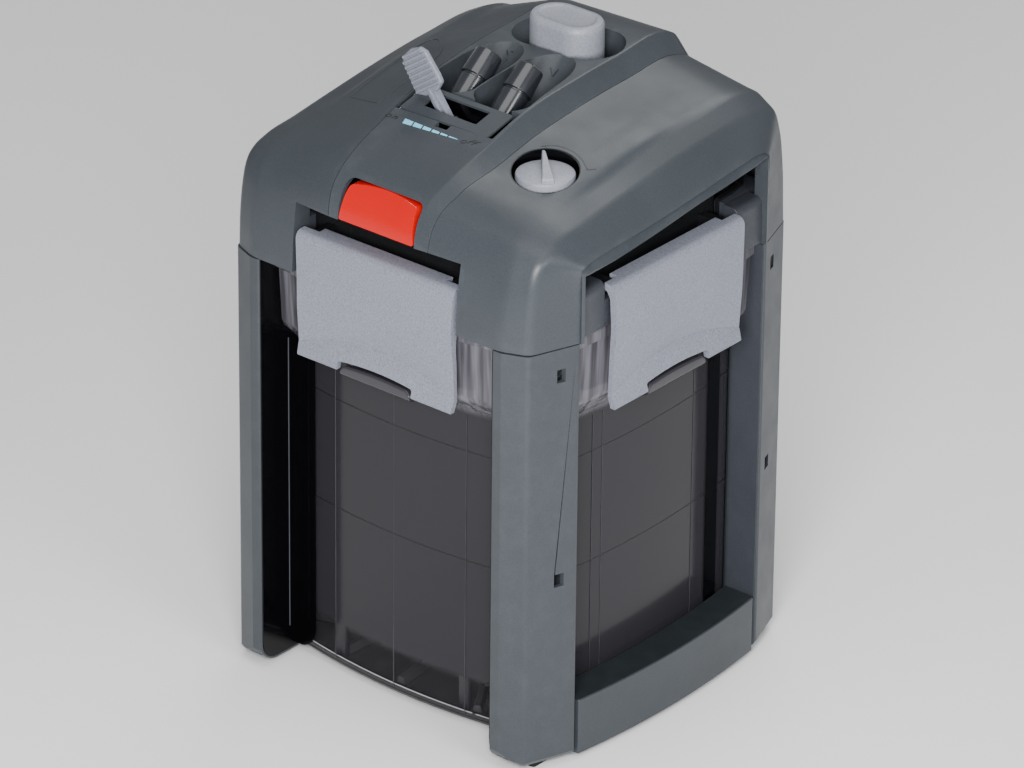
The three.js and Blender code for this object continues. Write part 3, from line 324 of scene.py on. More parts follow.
def boolean(ob, others, operation="DIFFERENCE"):
    """Cuts, joins or crosses ob with one or more bodies, which are used up."""
    for other in others if isinstance(others, (list, tuple)) else [others]:
        m = ob.modifiers.new("cut", "BOOLEAN")
        m.object, m.operation, m.solver = other, operation, "MANIFOLD"
        freeze(ob)
        drop(other)
    return ob


def copy_of(ob, name):
    return new_object(name, ob.data.copy())


def join(name, objects):
    """One object from several, which are used up."""
    bm = bmesh.new()
    for ob in objects:
        bm.from_mesh(ob.data)
    made = mesh_object(name, bm)
    for ob in objects:
        drop(ob)
    return made


def move(ob, matrix):
    ob.data.transform(matrix)
    if matrix.determinant() < 0:
        ob.data.flip_normals()
    return ob


def turn_z(degrees):
    return Matrix.Rotation(math.radians(degrees), 4, "Z")


def mirror(ob, sx, sy=1):
    return move(ob, Matrix.Diagonal((sx, sy, 1, 1)))


def loft(name, rings, close=False):
    """A closed body through rings of equal count; the ends are capped unless the last joins the first."""
    n = len(rings[0])
    verts = [tuple(p) for ring in rings for p in ring]
    faces = []
    steps = len(rings) if close else len(rings) - 1
    for i in range(steps):
        a, b = i * n, ((i + 1) % len(rings)) * n
        for j in range(n):
            k = (j + 1) % n
            faces.append((a + j, a + k, b + k, b + j))
    if not close:
        faces.append(tuple(range(n - 1, -1, -1)))
        faces.append(tuple(range((len(rings) - 1) * n, len(rings) * n)))
    return piece(name, verts, faces)


def box(name, x0, x1, y0, y1, z0, z1):
    ring = [(x0, y0), (x1, y0), (x1, y1), (x0, y1)]
    return loft(name, [[(x, y, z) for x, y in ring] for z in (z0, z1)])


def prism(name, outline, z0, z1):
    return loft(name, [[(x, y, z) for x, y in outline] for z in (z0, z1)])


def slab_x(name, outline, x0, x1):
    """A [y, z] outline swept along X."""
    return loft(name, [[(x, y, z) for y, z in outline] for x in (x0, x1)])


def slab_y(name, outline, y0, y1):
    """An [x, z] outline swept along Y."""
    return loft(name, [[(x, y, z) for x, z in outline] for y in (y0, y1)])


def lathe(name, profile, segments=48, place=(0, 0, 0), axis=(0, 0, 1)):
    """A turned body from an [r, s] profile: flat at both ends, or a ring if the profile is closed."""
    turn = Vector((0, 0, 1)).rotation_difference(Vector(axis)).to_matrix()
    rings = []
    for r, s in profile:
        ring = []
        for i in range(segments):
            a = TAU * i / segments
            ring.append(turn @ Vector((r * math.cos(a), r * math.sin(a), s)) + Vector(place))
        rings.append(ring)
    closed = profile[0] == profile[-1]
    if closed:
        rings.pop()
    return loft(name, rings, close=closed)


def rod(name, start, end, radius, segments=32):
    a, b = Vector(start), Vector(end)
    return lathe(name, [(radius, 0), (radius, (b - a).length)], segments, a, b - a)


def hull(name, points):
    """The convex body round the points."""
    bm = bmesh.new()
    for p in points:
        bm.verts.new(Vector(p) * MM)
    found = bmesh.ops.convex_hull(bm, input=bm.verts)
    bmesh.ops.delete(bm, geom=found["geom_interior"], context="VERTS")
    bmesh.ops.recalc_face_normals(bm, faces=bm.faces)
    return mesh_object(name, bm)


def arc(cx, cy, r, a0, a1, n):
    """Points on an arc, angles in degrees."""
    step = (a1 - a0) / n
    return [(cx + r * math.cos(math.radians(a0 + step * i)), cy + r * math.sin(math.radians(a0 + step * i)))
            for i in range(n + 1)]


def rounded(outline, radii, n=5):
    """An outline with each corner rounded by its own radius."""
    made = []
    count = len(outline)
    radii = radii if isinstance(radii, (list, tuple)) else [radii] * count
    for i, (corner, r) in enumerate(zip(outline, radii)):
        if r <= 0:
            made.append(tuple(corner))
            continue
        p, a, b = Vector(corner), Vector(outline[i - 1]), Vector(outline[(i + 1) % count])
        u, v = (a - p).normalized(), (b - p).normalized()
        cut = min(r / math.tan(u.angle(v) / 2), (a - p).length * 0.49, (b - p).length * 0.49)
        start, end = p + u * cut, p + v * cut
        for j in range(n + 1):
            t = j / n
            made.append(tuple(start * (1 - t) ** 2 + p * 2 * t * (1 - t) + end * t ** 2))
    return made


def rounded_box(x0, x1, y0, y1, r):
    return rounded([(x0, y0), (x1, y0), (x1, y1), (x0, y1)], r)


def oval(hx, hy, cx=0.0, cy=0.0, n=20):
    """A plan with straight long sides and round ends."""
    return arc(cx + hx - hy, cy, hy, -90, 90, n) + arc(cx - hx + hy, cy, hy, 90, 270, n)


def oval_loft(name, levels, cx, cy, grow=0.0):
    """A body through (half x, half y, z) ovals round one centre."""
    return loft(name, [[(x, y, z) for x, y in oval(hx + grow, hy + grow, cx, cy)] for hx, hy, z in levels])


def bulged(hx, hy, bulge_x, bulge_y, r, n=10):
    """A square plan with bowed sides and round corners; hx and hy are the half sizes at mid-side."""
    cx, cy = hx - bulge_x, hy - bulge_y

    def curve(a, b, c, steps):
        return [tuple(Vector(a) * (1 - t) ** 2 + Vector(b) * 2 * t * (1 - t) + Vector(c) * t ** 2)
                for t in (i / steps for i in range(steps))]

    quarter = curve((cx, -cy + r), (hx + bulge_x, 0), (cx, cy - r), n) + curve(
        (cx, cy - r), (cx, cy), (cx - r, cy), 6)
    other = curve((cx - r, cy), (0, hy + bulge_y), (-cx + r, cy), n) + curve(
        (-cx + r, cy), (-cx, cy), (-cx, cy - r), 6)
    return quarter + other + [(-x, -y) for x, y in quarter + other]


def smooth(ob, degrees):
    me = ob.data
    me.polygons.foreach_set("use_smooth", [True] * len(me.polygons))
    me.set_sharp_from_angle(angle=math.radians(degrees))
    m = ob.modifiers.new("normals", "WEIGHTED_NORMAL")
    m.keep_sharp = True
    m.weight = 80


def bevel(ob, width, segments=3, angle=32):
    m = ob.modifiers.new("edges", "BEVEL")
    m.width, m.segments, m.limit_method = width * MM, segments, "ANGLE"
    m.angle_limit = math.radians(angle)
    m.miter_outer = "MITER_ARC"
    return freeze(ob)


def done(ob, slot, material, replaces=(), edge=0.0, angle=38, body="housing"):
    """The last step of a piece: rounded edges, smooth shading, material and body. The slot argument is not used."""
    if edge:
        bevel(ob, edge)
    smooth(ob, angle)
    ob.data.materials.clear()
    ob.data.materials.append(material)
    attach(ob, body)
    if replaces:
        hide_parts(*replaces)
    return ob


# ---- head cover
# Profiles of the cover: 16 matching [y, z] keys from the bottom front over the top to the bottom rear.
ARRIS = [(-112, 263), (-111, 286), (-108.5, 303), (-106, 311), (-103, 315.5), (-97.5, 319.5), (-90, 322.3),
         (-62, 326), (-34, 329.7), (8, 334.6), (50, 337.7), (92, 337.5), (101, 335), (107, 322),
         (110.5, 303), (113, 263)]
SHOULDER = [(-117.9, 263), (-117, 285), (-114, 302), (-111, 310.5), (-108, 316), (-102.5, 321.5),
            (-92, 326.3), (-62, 331), (-33, 334.8), (8, 341.5), (50, 345), (94, 345), (104, 341),
            (110.5, 328), (115.5, 303), (118.2, 263)]
FLANK = [(-118.6, 263), (-117.2, 285), (-114.3, 302), (-112, 310), (-109, 315.8), (-103, 322.5),
         (-92, 327.5), (-62, 333), (-31, 339.5), (8, 345.2), (48, 346.6), (94, 345.5), (104, 341.5),
         (111, 328), (116, 303), (118.7, 263)]
FOOT = [(-119.5, 263), (-118.5, 285), (-117, 302), (-115, 312), (-112.5, 319), (-106.5, 326.5),
        (-96, 332.5), (-62, 338.5), (-31, 345), (8, 349.5), (50, 352), (96, 351.5), (106, 347),
        (112, 333), (116.5, 303), (118.7, 263)]
CREST = [(-119.5, 263), (-118.6, 285), (-117.4, 304), (-116, 314), (-113, 321.5), (-105, 329.5),
         (-94, 335.3), (-60, 345.5), (-25, 355.5), (17, 360), (54, 362), (98, 362), (106.5, 357.5),
         (112.5, 340), (117, 304), (118.7, 263)]
SIDE = [(117, -81.6, 263), (117, -81.6, 285), (117.1, -82, 300), (117.6, -82.8, 304.6),
        (118.2, -83.6, 307.4), (118.8, -82.5, 308.6), (119, -76, 310.6), (119.5, -60, 312.4),
        (120, -34, 314.3), (120.4, 8, 318), (120.2, 50, 322.2), (119.4, 73, 322.6), (118.4, 80.5, 319.5),
        (117.6, 82.4, 313), (117.1, 82, 300), (117, 81.6, 263)]
LIP = [(117, -81.6, 263), (117, -81.6, 285), (117.1, -82, 299.5), (117.6, -82.4, 303.4),
       (118.2, -82.6, 304.6), (118.9, -80, 304.9), (119.4, -72, 305), (120, -57, 305.6),
       (120.5, -34, 307.2), (120.5, 8, 312.2), (120.3, 50, 315.6), (119.5, 73, 318), (118.4, 80, 317.6),
       (117.6, 82, 312), (117.1, 82, 299.5), (117, 81.6, 263)]
ROW_STEPS = [3, 3, 3, 3, 4, 4, 5, 4, 5, 5, 5, 4, 5, 4, 4]
FLANK_X, SHOULDER_X, ARRIS_X = 84.8, 91.2, 106.0
FOOT_XS = [36.6, 36.6, 36.6, 36.6, 37, 38, 39.3] + [40.0] * 9
CREST_XS = [27.7, 27.7, 27.7, 27.7, 28, 28.6, 29.4] + [30.0] * 9
COVER_WALL = 2.8


def column(keys, xs):
    """Dense rows through the 16 keys, by a smooth curve through every key."""
    xs = xs if isinstance(xs, (list, tuple, np.ndarray)) else [xs] * 16
    p = np.array([(x, y, z) for x, (y, z) in zip(xs, keys)] if len(keys[0]) == 2 else keys, float)
    knots = np.concatenate([[0], np.cumsum(np.linalg.norm(np.diff(p, axis=0), axis=1))])
    slopes = np.gradient(p, knots, axis=0)
    rows = []
    for i, steps in enumerate(ROW_STEPS):
        h = knots[i + 1] - knots[i]
        for k in range(steps):
            t = k / steps
            rows.append((2 * t ** 3 - 3 * t ** 2 + 1) * p[i] + (t ** 3 - 2 * t ** 2 + t) * h * slopes[i]
                        + (3 * t ** 2 - 2 * t ** 3) * p[i + 1] + (t ** 3 - t ** 2) * h * slopes[i + 1])
    rows.append(p[-1])
    return np.array(rows)


def between(a, b, shares):
    return [a + (b - a) * t for t in shares]


def fillet(a, corner, b, cut, n=3):
    """Columns that round a corner column, starting `cut` mm before it and ending `cut` mm after it."""
    la = np.linalg.norm(a - corner, axis=1)[:, None]
    lb = np.linalg.norm(b - corner, axis=1)[:, None]
    start = corner + (a - corner) * np.minimum(cut / np.maximum(la, 1e-6), 0.45)
    end = corner + (b - corner) * np.minimum(cut / np.maximum(lb, 1e-6), 0.45)
    return [start * (1 - t) ** 2 + corner * 2 * t * (1 - t) + end * t ** 2
            for t in (i / n for i in range(n + 1))]


def mirror_columns(columns):
    return [c * np.array([-1, 1, 1]) for c in reversed(columns)]


def cover_columns():
    """Columns from the bottom right edge over the cover to the bottom left edge."""
    arris, shoulder = column(ARRIS, ARRIS_X), column(SHOULDER, SHOULDER_X)
    flank, foot, crest = column(FLANK, FLANK_X), column(FOOT, FOOT_XS), column(CREST, CREST_XS)
    side, lip = column(SIDE, 0), column(LIP, 0)
    bottom = lip.copy()
    bottom[:, 2] = 263
    for c in (arris, shoulder, flank, foot, crest, side, lip):
        c[0, 2] = c[-1, 2] = 263
    scoop = side + (lip - side) * 0.3
    scoop[:, 0] -= 2.6 * np.clip((side[:, 2] - lip[:, 2]) / 6, 0, 1)
    outer = [bottom, lip, lip + (scoop - lip) * 0.6, scoop, side] + between(side, arris, (0.05, 0.3, 0.6))
    outer += fillet(side, arris, shoulder, 4.0, 4) + fillet(arris, shoulder, flank, 2.6, 2)
    seam_ys = np.array([y for y, _ in CREST])
    seam_xs = np.interp(seam_ys, (-119, -52, 31), (-34, -42, -48))
    drop_z = np.interp(seam_ys, (-119, -95, -40, 60, 100, 119), (0, 0.8, 2.4, 3, 3, 0))
    seam = column([(y, z - d) for (y, z), d in zip(CREST, drop_z)], seam_xs)
    seam[0, 2] = seam[-1, 2] = 263
    right = outer + [flank] + between(flank, foot, (0.25, 0.5, 0.75, 0.93))
    right += fillet(flank, foot, crest, 0.7, 2) + fillet(foot, crest, seam, 0.9, 2)
    middle = between(crest, seam, (0.04, 0.15, 0.3, 0.45, 0.6, 0.75, 0.88)) + [seam]
    left_flank = flank * np.array([-1, 1, 1])
    left = between(seam, left_flank, (0.12, 0.35, 0.6, 0.85)) + mirror_columns(outer + [flank])
    return right + middle + left


def cover_solid(name, inset=0.0):
    """The closed body under the cover's outer surface, or the same shrunk by a wall."""
    columns = [c.copy() for c in cover_columns()]
    base = 257.0
    if inset:
        for c in columns:
            c[:, 0] *= 1 - inset / 117
            c[:, 1] *= 1 - inset / 118.7
            c[:, 2] = base + (c[:, 2] - base) * (1 - inset / 95)
            c[:, 2] = np.where(c[:, 2] < 264, base - 1, c[:, 2])
    rows = len(columns[0])
    verts = [tuple(p) for c in columns for p in c]
    faces = []
    for i in range(len(columns) - 1):
        for j in range(rows - 1):
            a, b = i * rows + j, (i + 1) * rows + j
            faces.append((a, b, b + 1, a + 1))
    last = (len(columns) - 1) * rows
    loop = [i * rows for i in range(len(columns))] + [last + j for j in range(1, rows)]
    loop += [i * rows + rows - 1 for i in range(len(columns) - 2, -1, -1)] + list(range(rows - 2, 0, -1))
    faces.append(tuple(loop))
    return piece(name, verts, faces)


WINDOW_X, WINDOW_TOP, WINDOW_Y = 59.5, 305.0, 80.5
LIP_LOWER = [(-80.5, 303.6), (-56.5, 304.9), (-23.5, 308.2), (16.8, 312.8), (49.3, 315.4), (73.9, 317.8),
             (80.5, 317.8)]
TILT = Vector((0, math.cos(math.radians(40)), math.sin(math.radians(40))))
NOZZLE_XS = (-23.46, 6.46)
DIAL_AT = (63.5, -48.5)
PRIMER_AT = (-7.6, 56.0)


def side_window(name, sx, grow, x0, x1):
    top = [(y * (1 + grow / 80.5), z + grow) for y, z in reversed(LIP_LOWER)]
    edge = WINDOW_Y + grow
    outline = [(-edge, 250), (edge, 250)] + top
    return slab_x(name, outline, x0, x1) if sx > 0 else slab_x(name, outline, -x1, -x0)


def nozzle_channels(grow):
    """Two round-bottomed troughs, open upwards, that the hose nozzles lie in."""
    def ring(x, r, s):
        centre = Vector((x, -9, 342.5)) + TILT * s
        across = Vector((0, -TILT.z, TILT.y))
        return [centre + Vector((1, 0, 0)) * math.cos(a) * r + across * math.sin(a) * r
                for a in (TAU * i / 40 for i in range(40))]

    made = []
    for x_top, r_top, x_low, r_low in ((-27.5, 16, -27.5, 16), (6, 16, 9, 19.3)):
        points = ring(x_top, r_top + grow, 70) + ring(x_low, r_low + grow, -13 - grow)
        lifted = [p + Vector((0, 0, 34)) for p in points]
        made.append(hull("trough", points + lifted))
    return made


# (half length, half width, z) rings of the basin round the priming button.
BOWL = [(36.4, 19.6, 375), (36.4, 19.6, 361), (35.6, 18.8, 358.6), (33.5, 17.7, 356.2), (29.5, 16.6, 353),
        (26, 16.2, 349.5), (24.4, 16.1, 345), (24.2, 16.0, 335)]


def centre_region(name, grow):
    left = [(-34, -135), (-34, -119), (-42, -52), (-48, 31), (-48, 104)]
    right = [(40, 104), (40, -96), (38.6, -104), (37.2, -112), (36.6, -116), (36.6, -135)]
    outline = [(x - grow, y + (grow if y > 100 else 0)) for x, y in left]
    outline += [(x + grow, y + (grow if y > 100 else 0)) for x, y in right]
    return prism(name, outline, 300, 400)


def build_covers():
    outer = cover_solid("outer")
    inner = cover_solid("inner", COVER_WALL)
    # Walls kept inside the shell: window reveals, dial cup, trough skins and the priming basin.
    keep = []
    for sy in (-1, 1):
        y0, y1 = sorted((sy * 104, sy * 135))
        keep.append(box("reveal", -62, 62, y0, y1, 250, 307.6))
        keep.append(side_window("reveal", sy, 2.4, 109, 135))
    keep.append(rod("cup", (*DIAL_AT, 326), (*DIAL_AT, 352), 22))
    keep += nozzle_channels(2.2)
    px, py = PRIMER_AT
    keep.append(oval_loft("bowl", BOWL, px, py + 1, 2))
    boolean(inner, keep)
    shell = boolean(outer, inner)
    cuts = [box("w", -WINDOW_X, WINDOW_X, -140, -90, 245, WINDOW_TOP),
            box("w", -WINDOW_X, WINDOW_X, 90, 140, 245, WINDOW_TOP),
            side_window("w", 1, 0, 104, 140), side_window("w", -1, 0, 104, 140),
            rod("w", (*DIAL_AT, 329), (*DIAL_AT, 370), 19.4, segments=64)]
    cuts += nozzle_channels(0)
    cuts.append(oval_loft("w", BOWL, px, py + 1))
    slot = prism("w", rounded_box(-42, 28.4, -52, -28, 1), 336, 385)
    notch = prism("w", rounded_box(-10, -1, -56.2, -50, 0.8), 336, 385)
    button = rounded([(-27.5, 300), (27.5, 300), (27.5, 328), (-27.5, 328)], [0, 0, 5, 5])
    cuts += [slot, notch, slab_y("w", button, -140, -101)]
    boolean(shell, cuts)
    centre = boolean(copy_of(shell, "cover_centre"), centre_region("r", 0), "INTERSECT")
    lower = boolean(shell, centre_region("r", 0.45))
    lower.name = "cover_lower"
    done(lower, "housing_grey", HOUSING, ["head_cover"], edge=0.55)
    done(centre, "housing_grey", HOUSING, ["centre_cover"], edge=0.55)
    return lower, centre


def build_button():
    face = cover_solid("release_button_cap")
    crown = [(x, 327.6 - 2.4 * (x / 24) ** 2) for x in np.linspace(24, -24, 13)]
    shape = rounded([(-26.9, 305.6), (26.9, 305.6)] + crown, [1.5, 1.5, 4] + [0] * 11 + [4])
    boolean(face, slab_y("b", shape, -140, -101.5), "INTERSECT")
    move(face, Matrix.Translation((0, -0.25 * MM, 0.1 * MM)))
    stem = rod("stem", (0, -102, 314.4), (0, -87, 314.4), 6)
    boolean(stem, rod("bore", (0, -100, 314.4), (0, -80, 314.4), 4.4))
    bevel(face, 2.0, 4, 30)
    cap = join("release_button_cap", [face, stem])
    done(cap, "button_red", RED, ["release_button"], body="button")


# ---- hose adapter
def build_nozzles():
    for x, side in zip(NOZZLE_XS, ("inlet", "outlet")):
        start = Vector((x, -17, 343))
        profile = [(8.2, -8), (8.2, 14.2), (7.5, 14.7), (7.5, 15.5), (9.05, 15.8), (9.05, 16.4),
                   (8.15, 30.6), (7.9, 31.5), (7.2, 32), (6.2, 32), (5.7, 31.6), (5.5, 31), (5.5, 4), (5.5, -8),
                   (8.2, -8)]
        tube = lathe("nozzle_" + side, profile, 56, start, TILT)
        elbow = lathe("elbow", [(7.2, 0), (7.2, 20.6), (6.2, 20.6), (5.2, 20.6), (5.2, 0), (7.2, 0)], 40,
                      (x, -17, 323))
        made = join("nozzle_" + side, [tube, elbow])
        done(made, "nozzle_black", GLOSS_BLACK, [side + "_nozzle"], angle=30)


def plate_z(y):
    return 347.3 + (y + 51.6) * 0.225


def build_slot_plate():
    outline = rounded_box(-38.6, 24, -51.6, -28.6, 0.8)
    def slab(name, plan, low, high):
        return loft(name, [[(x, y, plate_z(y) + d) for x, y in plan] for d in (low, high)])

    slot = rounded_box(-27.6, 10.6, -44.8, -32.2, 0.8)
    plate = boolean(slab("slot_plate_top", outline, -1.4, 0), prism("s", slot, 330, 370))
    done(plate, "housing_grey", HOUSING, ["slot_plate"], edge=0.45)
    # The well and tray under the plate are near-black: painted shade in the recess below it.
    under = rounded_box(-38.1, 23.5, -51.1, -29.1, 0.8)
    tray = rounded_box(-45, 31.5, -57.5, -26.5, 0.8)
    well = boolean(slab("slot_well", under, -8, -1.6), prism("s", slot, 330, 370))
    floor = boolean(slab("floor", tray, -9.4, -8), prism("s", slot, 330, 370))
    done(join("slot_well", [well, floor]), "inner_black", BLACK_AND_PAINTED_SHADE)


def build_lever():
    """Stem and ribbed paddle, leaning to the left over the slot."""
    lean = math.radians(35)

    def at(s, w):
        return (-8.5 - math.sin(lean) * s + math.cos(lean) * w, 332 + math.cos(lean) * s + math.sin(lean) * w)

    y = -38.5
    paddle = [(28.5, 5), (28.5, -5), (31.5, -10.8), (36, -11.2), (51, -10), (54.5, -6.7), (55.9, 0), (54.5, 6.7),
              (51, 10), (36, 11.2), (31.5, 10.8)]
    outline = rounded([at(s, w) for s, w in paddle], 1.8, 4)
    body = slab_y("flow_lever_body", outline, y - 2.8, y + 0.8)
    bevel(body, 1.2, 3, 30)
    stem = slab_y("stem", [at(*p) for p in ((-2, 4.2), (-2, -4.2), (33, -3.1), (33, 3.1))], y - 2.4, y + 2.4)
    bevel(stem, 0.8, 2, 30)
    ridge = slab_y("ridge", [at(*p) for p in ((8, 1.3), (8, -1.3), (33, -1.1), (33, 1.1))], y - 3.6, y)
    bevel(ridge, 0.6, 2, 30)
    ribs = []
    for i in range(8):
        s = 32.6 + i * 2.95
        half = 9.7 - 0.13 * i if i < 7 else 7.4
        (x0, z0), (x1, z1) = at(s, -half), at(s, half)
        ribs.append(rod("rib", (x0, y - 2.7, z0), (x1, y - 2.7, z1), 1.15, segments=12))
    hub = rod("hub", (-8.5, -41, 332), (-8.5, -36, 332), 8.5)
    shaft = rod("shaft", (-8.5, -36.5, 332), (-8.5, -26, 332), 3)
    made = join("flow_lever_paddle", [body, stem, ridge, hub, shaft] + ribs)
    done(made, "clip_grey", CLIP_GREY, ["flow_lever"], body="lever")


def build_primer():
    x, y = PRIMER_AT
    levels = [(20.0, 12.2, 341), (23, 15, 341), (23, 15, 371.2), (22.7, 14.7, 373), (21.9, 13.9, 374.3),
              (20.6, 12.6, 374.9), (18.6, 10.8, 374.8), (17.8, 10.0, 374.2), (16, 8.6, 373.9), (9, 4, 373.7)]
    cap = oval_loft("priming_button_cap", levels, x, y)
    boolean(cap, oval_loft("hollow", [(20, 12, 335), (20, 12, 371.4)], x, y))
    stem = rod("stem", (x, y, 279.4), (x, y, 372), 3.2)
    made = join("priming_button_cap", [cap, stem])
    done(made, "clip_grey", KNOB_GREY, ["priming_button"], angle=30, body="primer")


def build_priming_spring():
    """The coiled spring below the priming button."""
    x, y = PRIMER_AT
    turns, steps, coil_r, wire_r, low, high, stroke = 6, 16, 8, 0.9, 302.6, 369.9, 16
    rings = []
    for i in range(turns * steps + 1):
        a = TAU * i / steps
        out = Vector((math.cos(a), math.sin(a), 0))
        middle = Vector((x, y, low + (high - low) * i / (turns * steps))) + out * coil_r
        rings.append([middle + wire_r * (out * math.cos(t) + Vector((0, 0, math.sin(t))))
                      for t in (math.pi / 4 * k for k in range(8))])
    spring = loft("priming_spring_coil", rings)
    done(spring, "pin_steel", STEEL, ["priming_spring"], angle=60)
    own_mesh(spring)


def build_dial():
    x, y = DIAL_AT
    profile = [(0.02, 329.6), (16.8, 329.6), (16.8, 336.2), (16.4, 337.2), (15.4, 337.8), (12, 338.5), (7, 339),
               (0.02, 339.2)]
    disc = lathe("disc", profile, 64, (x, y, 0))
    fin_side = [(-15.6, 334), (-15.6, 340.2), (-14.4, 341.2), (9.5, 345.6), (12.8, 345), (13.6, 343), (14.6, 336)]

    def half_width(u, z):
        return 3.6 - 2.3 * (u + 15.6) / 30 - 0.35 * max(0, z - 338) / 4

    fin = loft("fin", [[(u, side * half_width(u, z), z) for u, z in fin_side] for side in (-1, 1)])
    bevel(fin, 0.6, 3, 30)
    move(fin, Matrix.Translation((x * MM, y * MM, 0)) @ turn_z(135))

    def cup_ring(radius, top):
        points = [(x + radius * math.cos(a), y + radius * math.sin(a)) for a in (TAU * i / 64 for i in range(64))]
        return [(px, py, 338.2 - 0.125 * (px - x) + 0.19 * (py - y) if top else 329.3) for px, py in points]

    # A near-black ring lining the cup wall: painted shade in the gap round the dial.
    liner = loft("dial_cup_shade_ring", [cup_ring(18.8, False), cup_ring(19.3, False), cup_ring(19.3, True),
                                    cup_ring(18.8, True)], close=True)
    done(liner, "inner_black", BLACK_AND_PAINTED_SHADE)
    stem = rod("stem", (x, y, 297.7), (x, y, 330), 4)
    made = join("bypass_dial_knob", [disc, fin, stem])
    done(made, "clip_grey", KNOB_GREY, ["bypass_dial"], angle=30, body="dial")


# ---- clips
CLIPS = (("front", 0, 119), ("right", 90, 121), ("rear", 180, 119), ("left", 270, 121))
CLIP_HALF, CLIP_BOTTOM, CLIP_WAIST_Z = 57.5, 213.0, 262.0
BAND_MIDDLE, BAND_END = 17.5, 7.0
PIN_INSET, PIN_Z = 11.0, 283.0


def clip_profile(f, band_z):
    """Closed (outward, z) loop of a clip's side view; f is its face, and the flared band starts at band_z."""
    dip = 0.31 * (band_z - CLIP_BOTTOM) - 0.4
    top = [(f - 13.5, 288.6), (f - 12.6, 289.6), (f - 4.2, 289.3), (f - 2.4, 288.7), (f - 1.0, 287.4),
           (f - 0.2, 285.4), (f, 282)]
    front = [(f + 0.3, CLIP_WAIST_Z), (f - 0.4 * dip, 243), (f - dip - 0.45, band_z + 0.6), (f - dip, band_z),
             (f + 0.4, CLIP_BOTTOM + 0.9), (f - 0.3, CLIP_BOTTOM)]
    back = [(f - 3.4, CLIP_BOTTOM), (f - dip - 2.9, band_z), (f - 0.4 * dip - 3.2, 243), (f - 3.6, CLIP_WAIST_Z),
            (f - 4, 280), (f - 6, 284.6), (f - 12, 285)]
    return top + front + back


def build_clip(side, turn, face):
    rings = []
    shares = [-1, -0.985, -0.94, -0.87, -0.73, -0.56, -0.38, -0.19]
    for share in shares + [0] + [-s for s in reversed(shares)]:
        band_z = CLIP_BOTTOM + BAND_END + (BAND_MIDDLE - BAND_END) * (1 - share ** 2)
        ring = []
        for out, z in clip_profile(face, band_z):
            waist = 1.6 * math.exp(-((z - CLIP_WAIST_Z) / 22) ** 2)
            taper = 1.8 * max(0, 226 - z) / 13
            ring.append((share * (CLIP_HALF - waist - taper), -out, z))
        rings.append(ring)
    plate = loft("clip_" + side + "_plate", rings)
    arch = [(x, 219.8 - 1.6 * (x / 27) ** 2) for x in np.linspace(27, -27, 13)]
    notch = rounded([(-27.6, 205), (27.6, 205)] + arch, [0, 0, 2] + [0] * 11 + [2])
    boolean(plate, slab_y("n", notch, -face - 6, -face + 12))
    y, half = -(face - PIN_INSET), 45.8

    def along_pin(name, x0, x1, r):
        return rod(name, (x0, y, PIN_Z), (x1, y, PIN_Z), r)

    # Room for the two lugs of the head, at rest and all through the swing.
    for s in (-1, 1):
        inner, outer = sorted((s * 46, s * 70))
        boolean(plate, [box("room", inner, outer, -face + 7.8, -face + 30, 262, 296),
                        along_pin("room", s * 46, s * 53, 6.4)])
    bevel(plate, 0.7, 3, 55)
    hook = slab_x("hook", [(-face + 3.2, 247), (-face + 8.4, 247), (-face + 8.4, 252), (-face + 3.2, 254)],
                  -50, 50)
    barrel = along_pin("barrel", -half, half, 4.6)
    boolean(barrel, box("web", -half, half, y - 4, y, PIN_Z, 288), "UNION")
    boolean(barrel, along_pin("bore", -60, 60, 2.35))
    made = join("clip_" + side + "_lever", [plate, hook, barrel])
    move(made, turn_z(turn))
    done(made, "clip_grey", CLIP_GREY, ["clip_" + side], body="clip_" + side + "_body")


# ---- tank and frame
CORNERS = (("front_right", 1, -1), ("front_left", -1, -1), ("rear_right", 1, 1), ("rear_left", -1, 1))


def tank_rings(grow):
    """(z, half x, half y, corner radius) levels of the tank's outside, grown by a clearance."""
    levels = ((4, 95.4, 90.5, 10), (5.2, 97.6, 92.7, 11), (8.5, 99.2, 94.2, 12), (12, 99.4, 94.5, 12),
              (60, 99.4, 94.5, 12), (130, 99.4, 94.5, 12), (200, 99.4, 94.5, 12), (204, 100.4, 96, 13),
              (209, 104, 101, 15), (214, 108, 106, 18), (219, 110, 108.4, 20), (236, 111, 109.4, 20),
              (253.4, 111.8, 110.3, 20), (254.2, 114, 113.2, 20), (262.2, 114, 113.2, 20))
    return [(z, hx + grow, hy + grow, r + grow) for z, hx, hy, r in levels]


def tank_loft(name, levels, close=False):
    """A body through (z, half x, half y, corner radius) levels of the tank's bowed plan."""
    return loft(name, [[(x, y, z) for x, y in bulged(hx, hy, 5.2, 8.4, r, 14)] for z, hx, hy, r in levels], close)


def tank_wall(x):
    """Y of the tank's rear wall outside at x."""
    return 94.5 - 8.4 * (x / 87) ** 2


def tank_side(y):
    """X of the tank's right wall outside at y."""
    return 99.4 - 5.2 * (y / 82) ** 2


def build_tank():
    tank = tank_loft("tank_shell", tank_rings(0) + tank_rings(-3)[:1:-1])
    done(tank, "smoke_clear", SMOKE, ["canister_tank"], angle=30)
    # Fine moulded beads down the walls.
    places = [(x, s * (tank_wall(x) - 0.15), 0.3) for x in (-52, -6, 45) for s in (-1, 1)]
    places += [(s * (tank_side(y) - 0.15), y, 0.25) for y in (-46, -38, 44, 60) for s in (-1, 1)]
    beads = [rod("bead", (x, y, 8), (x, y, 198), r, segments=8) for x, y, r in places]
    done(join("tank_wall_beads", beads), "smoke_clear", SMOKE_SOLID, angle=30)


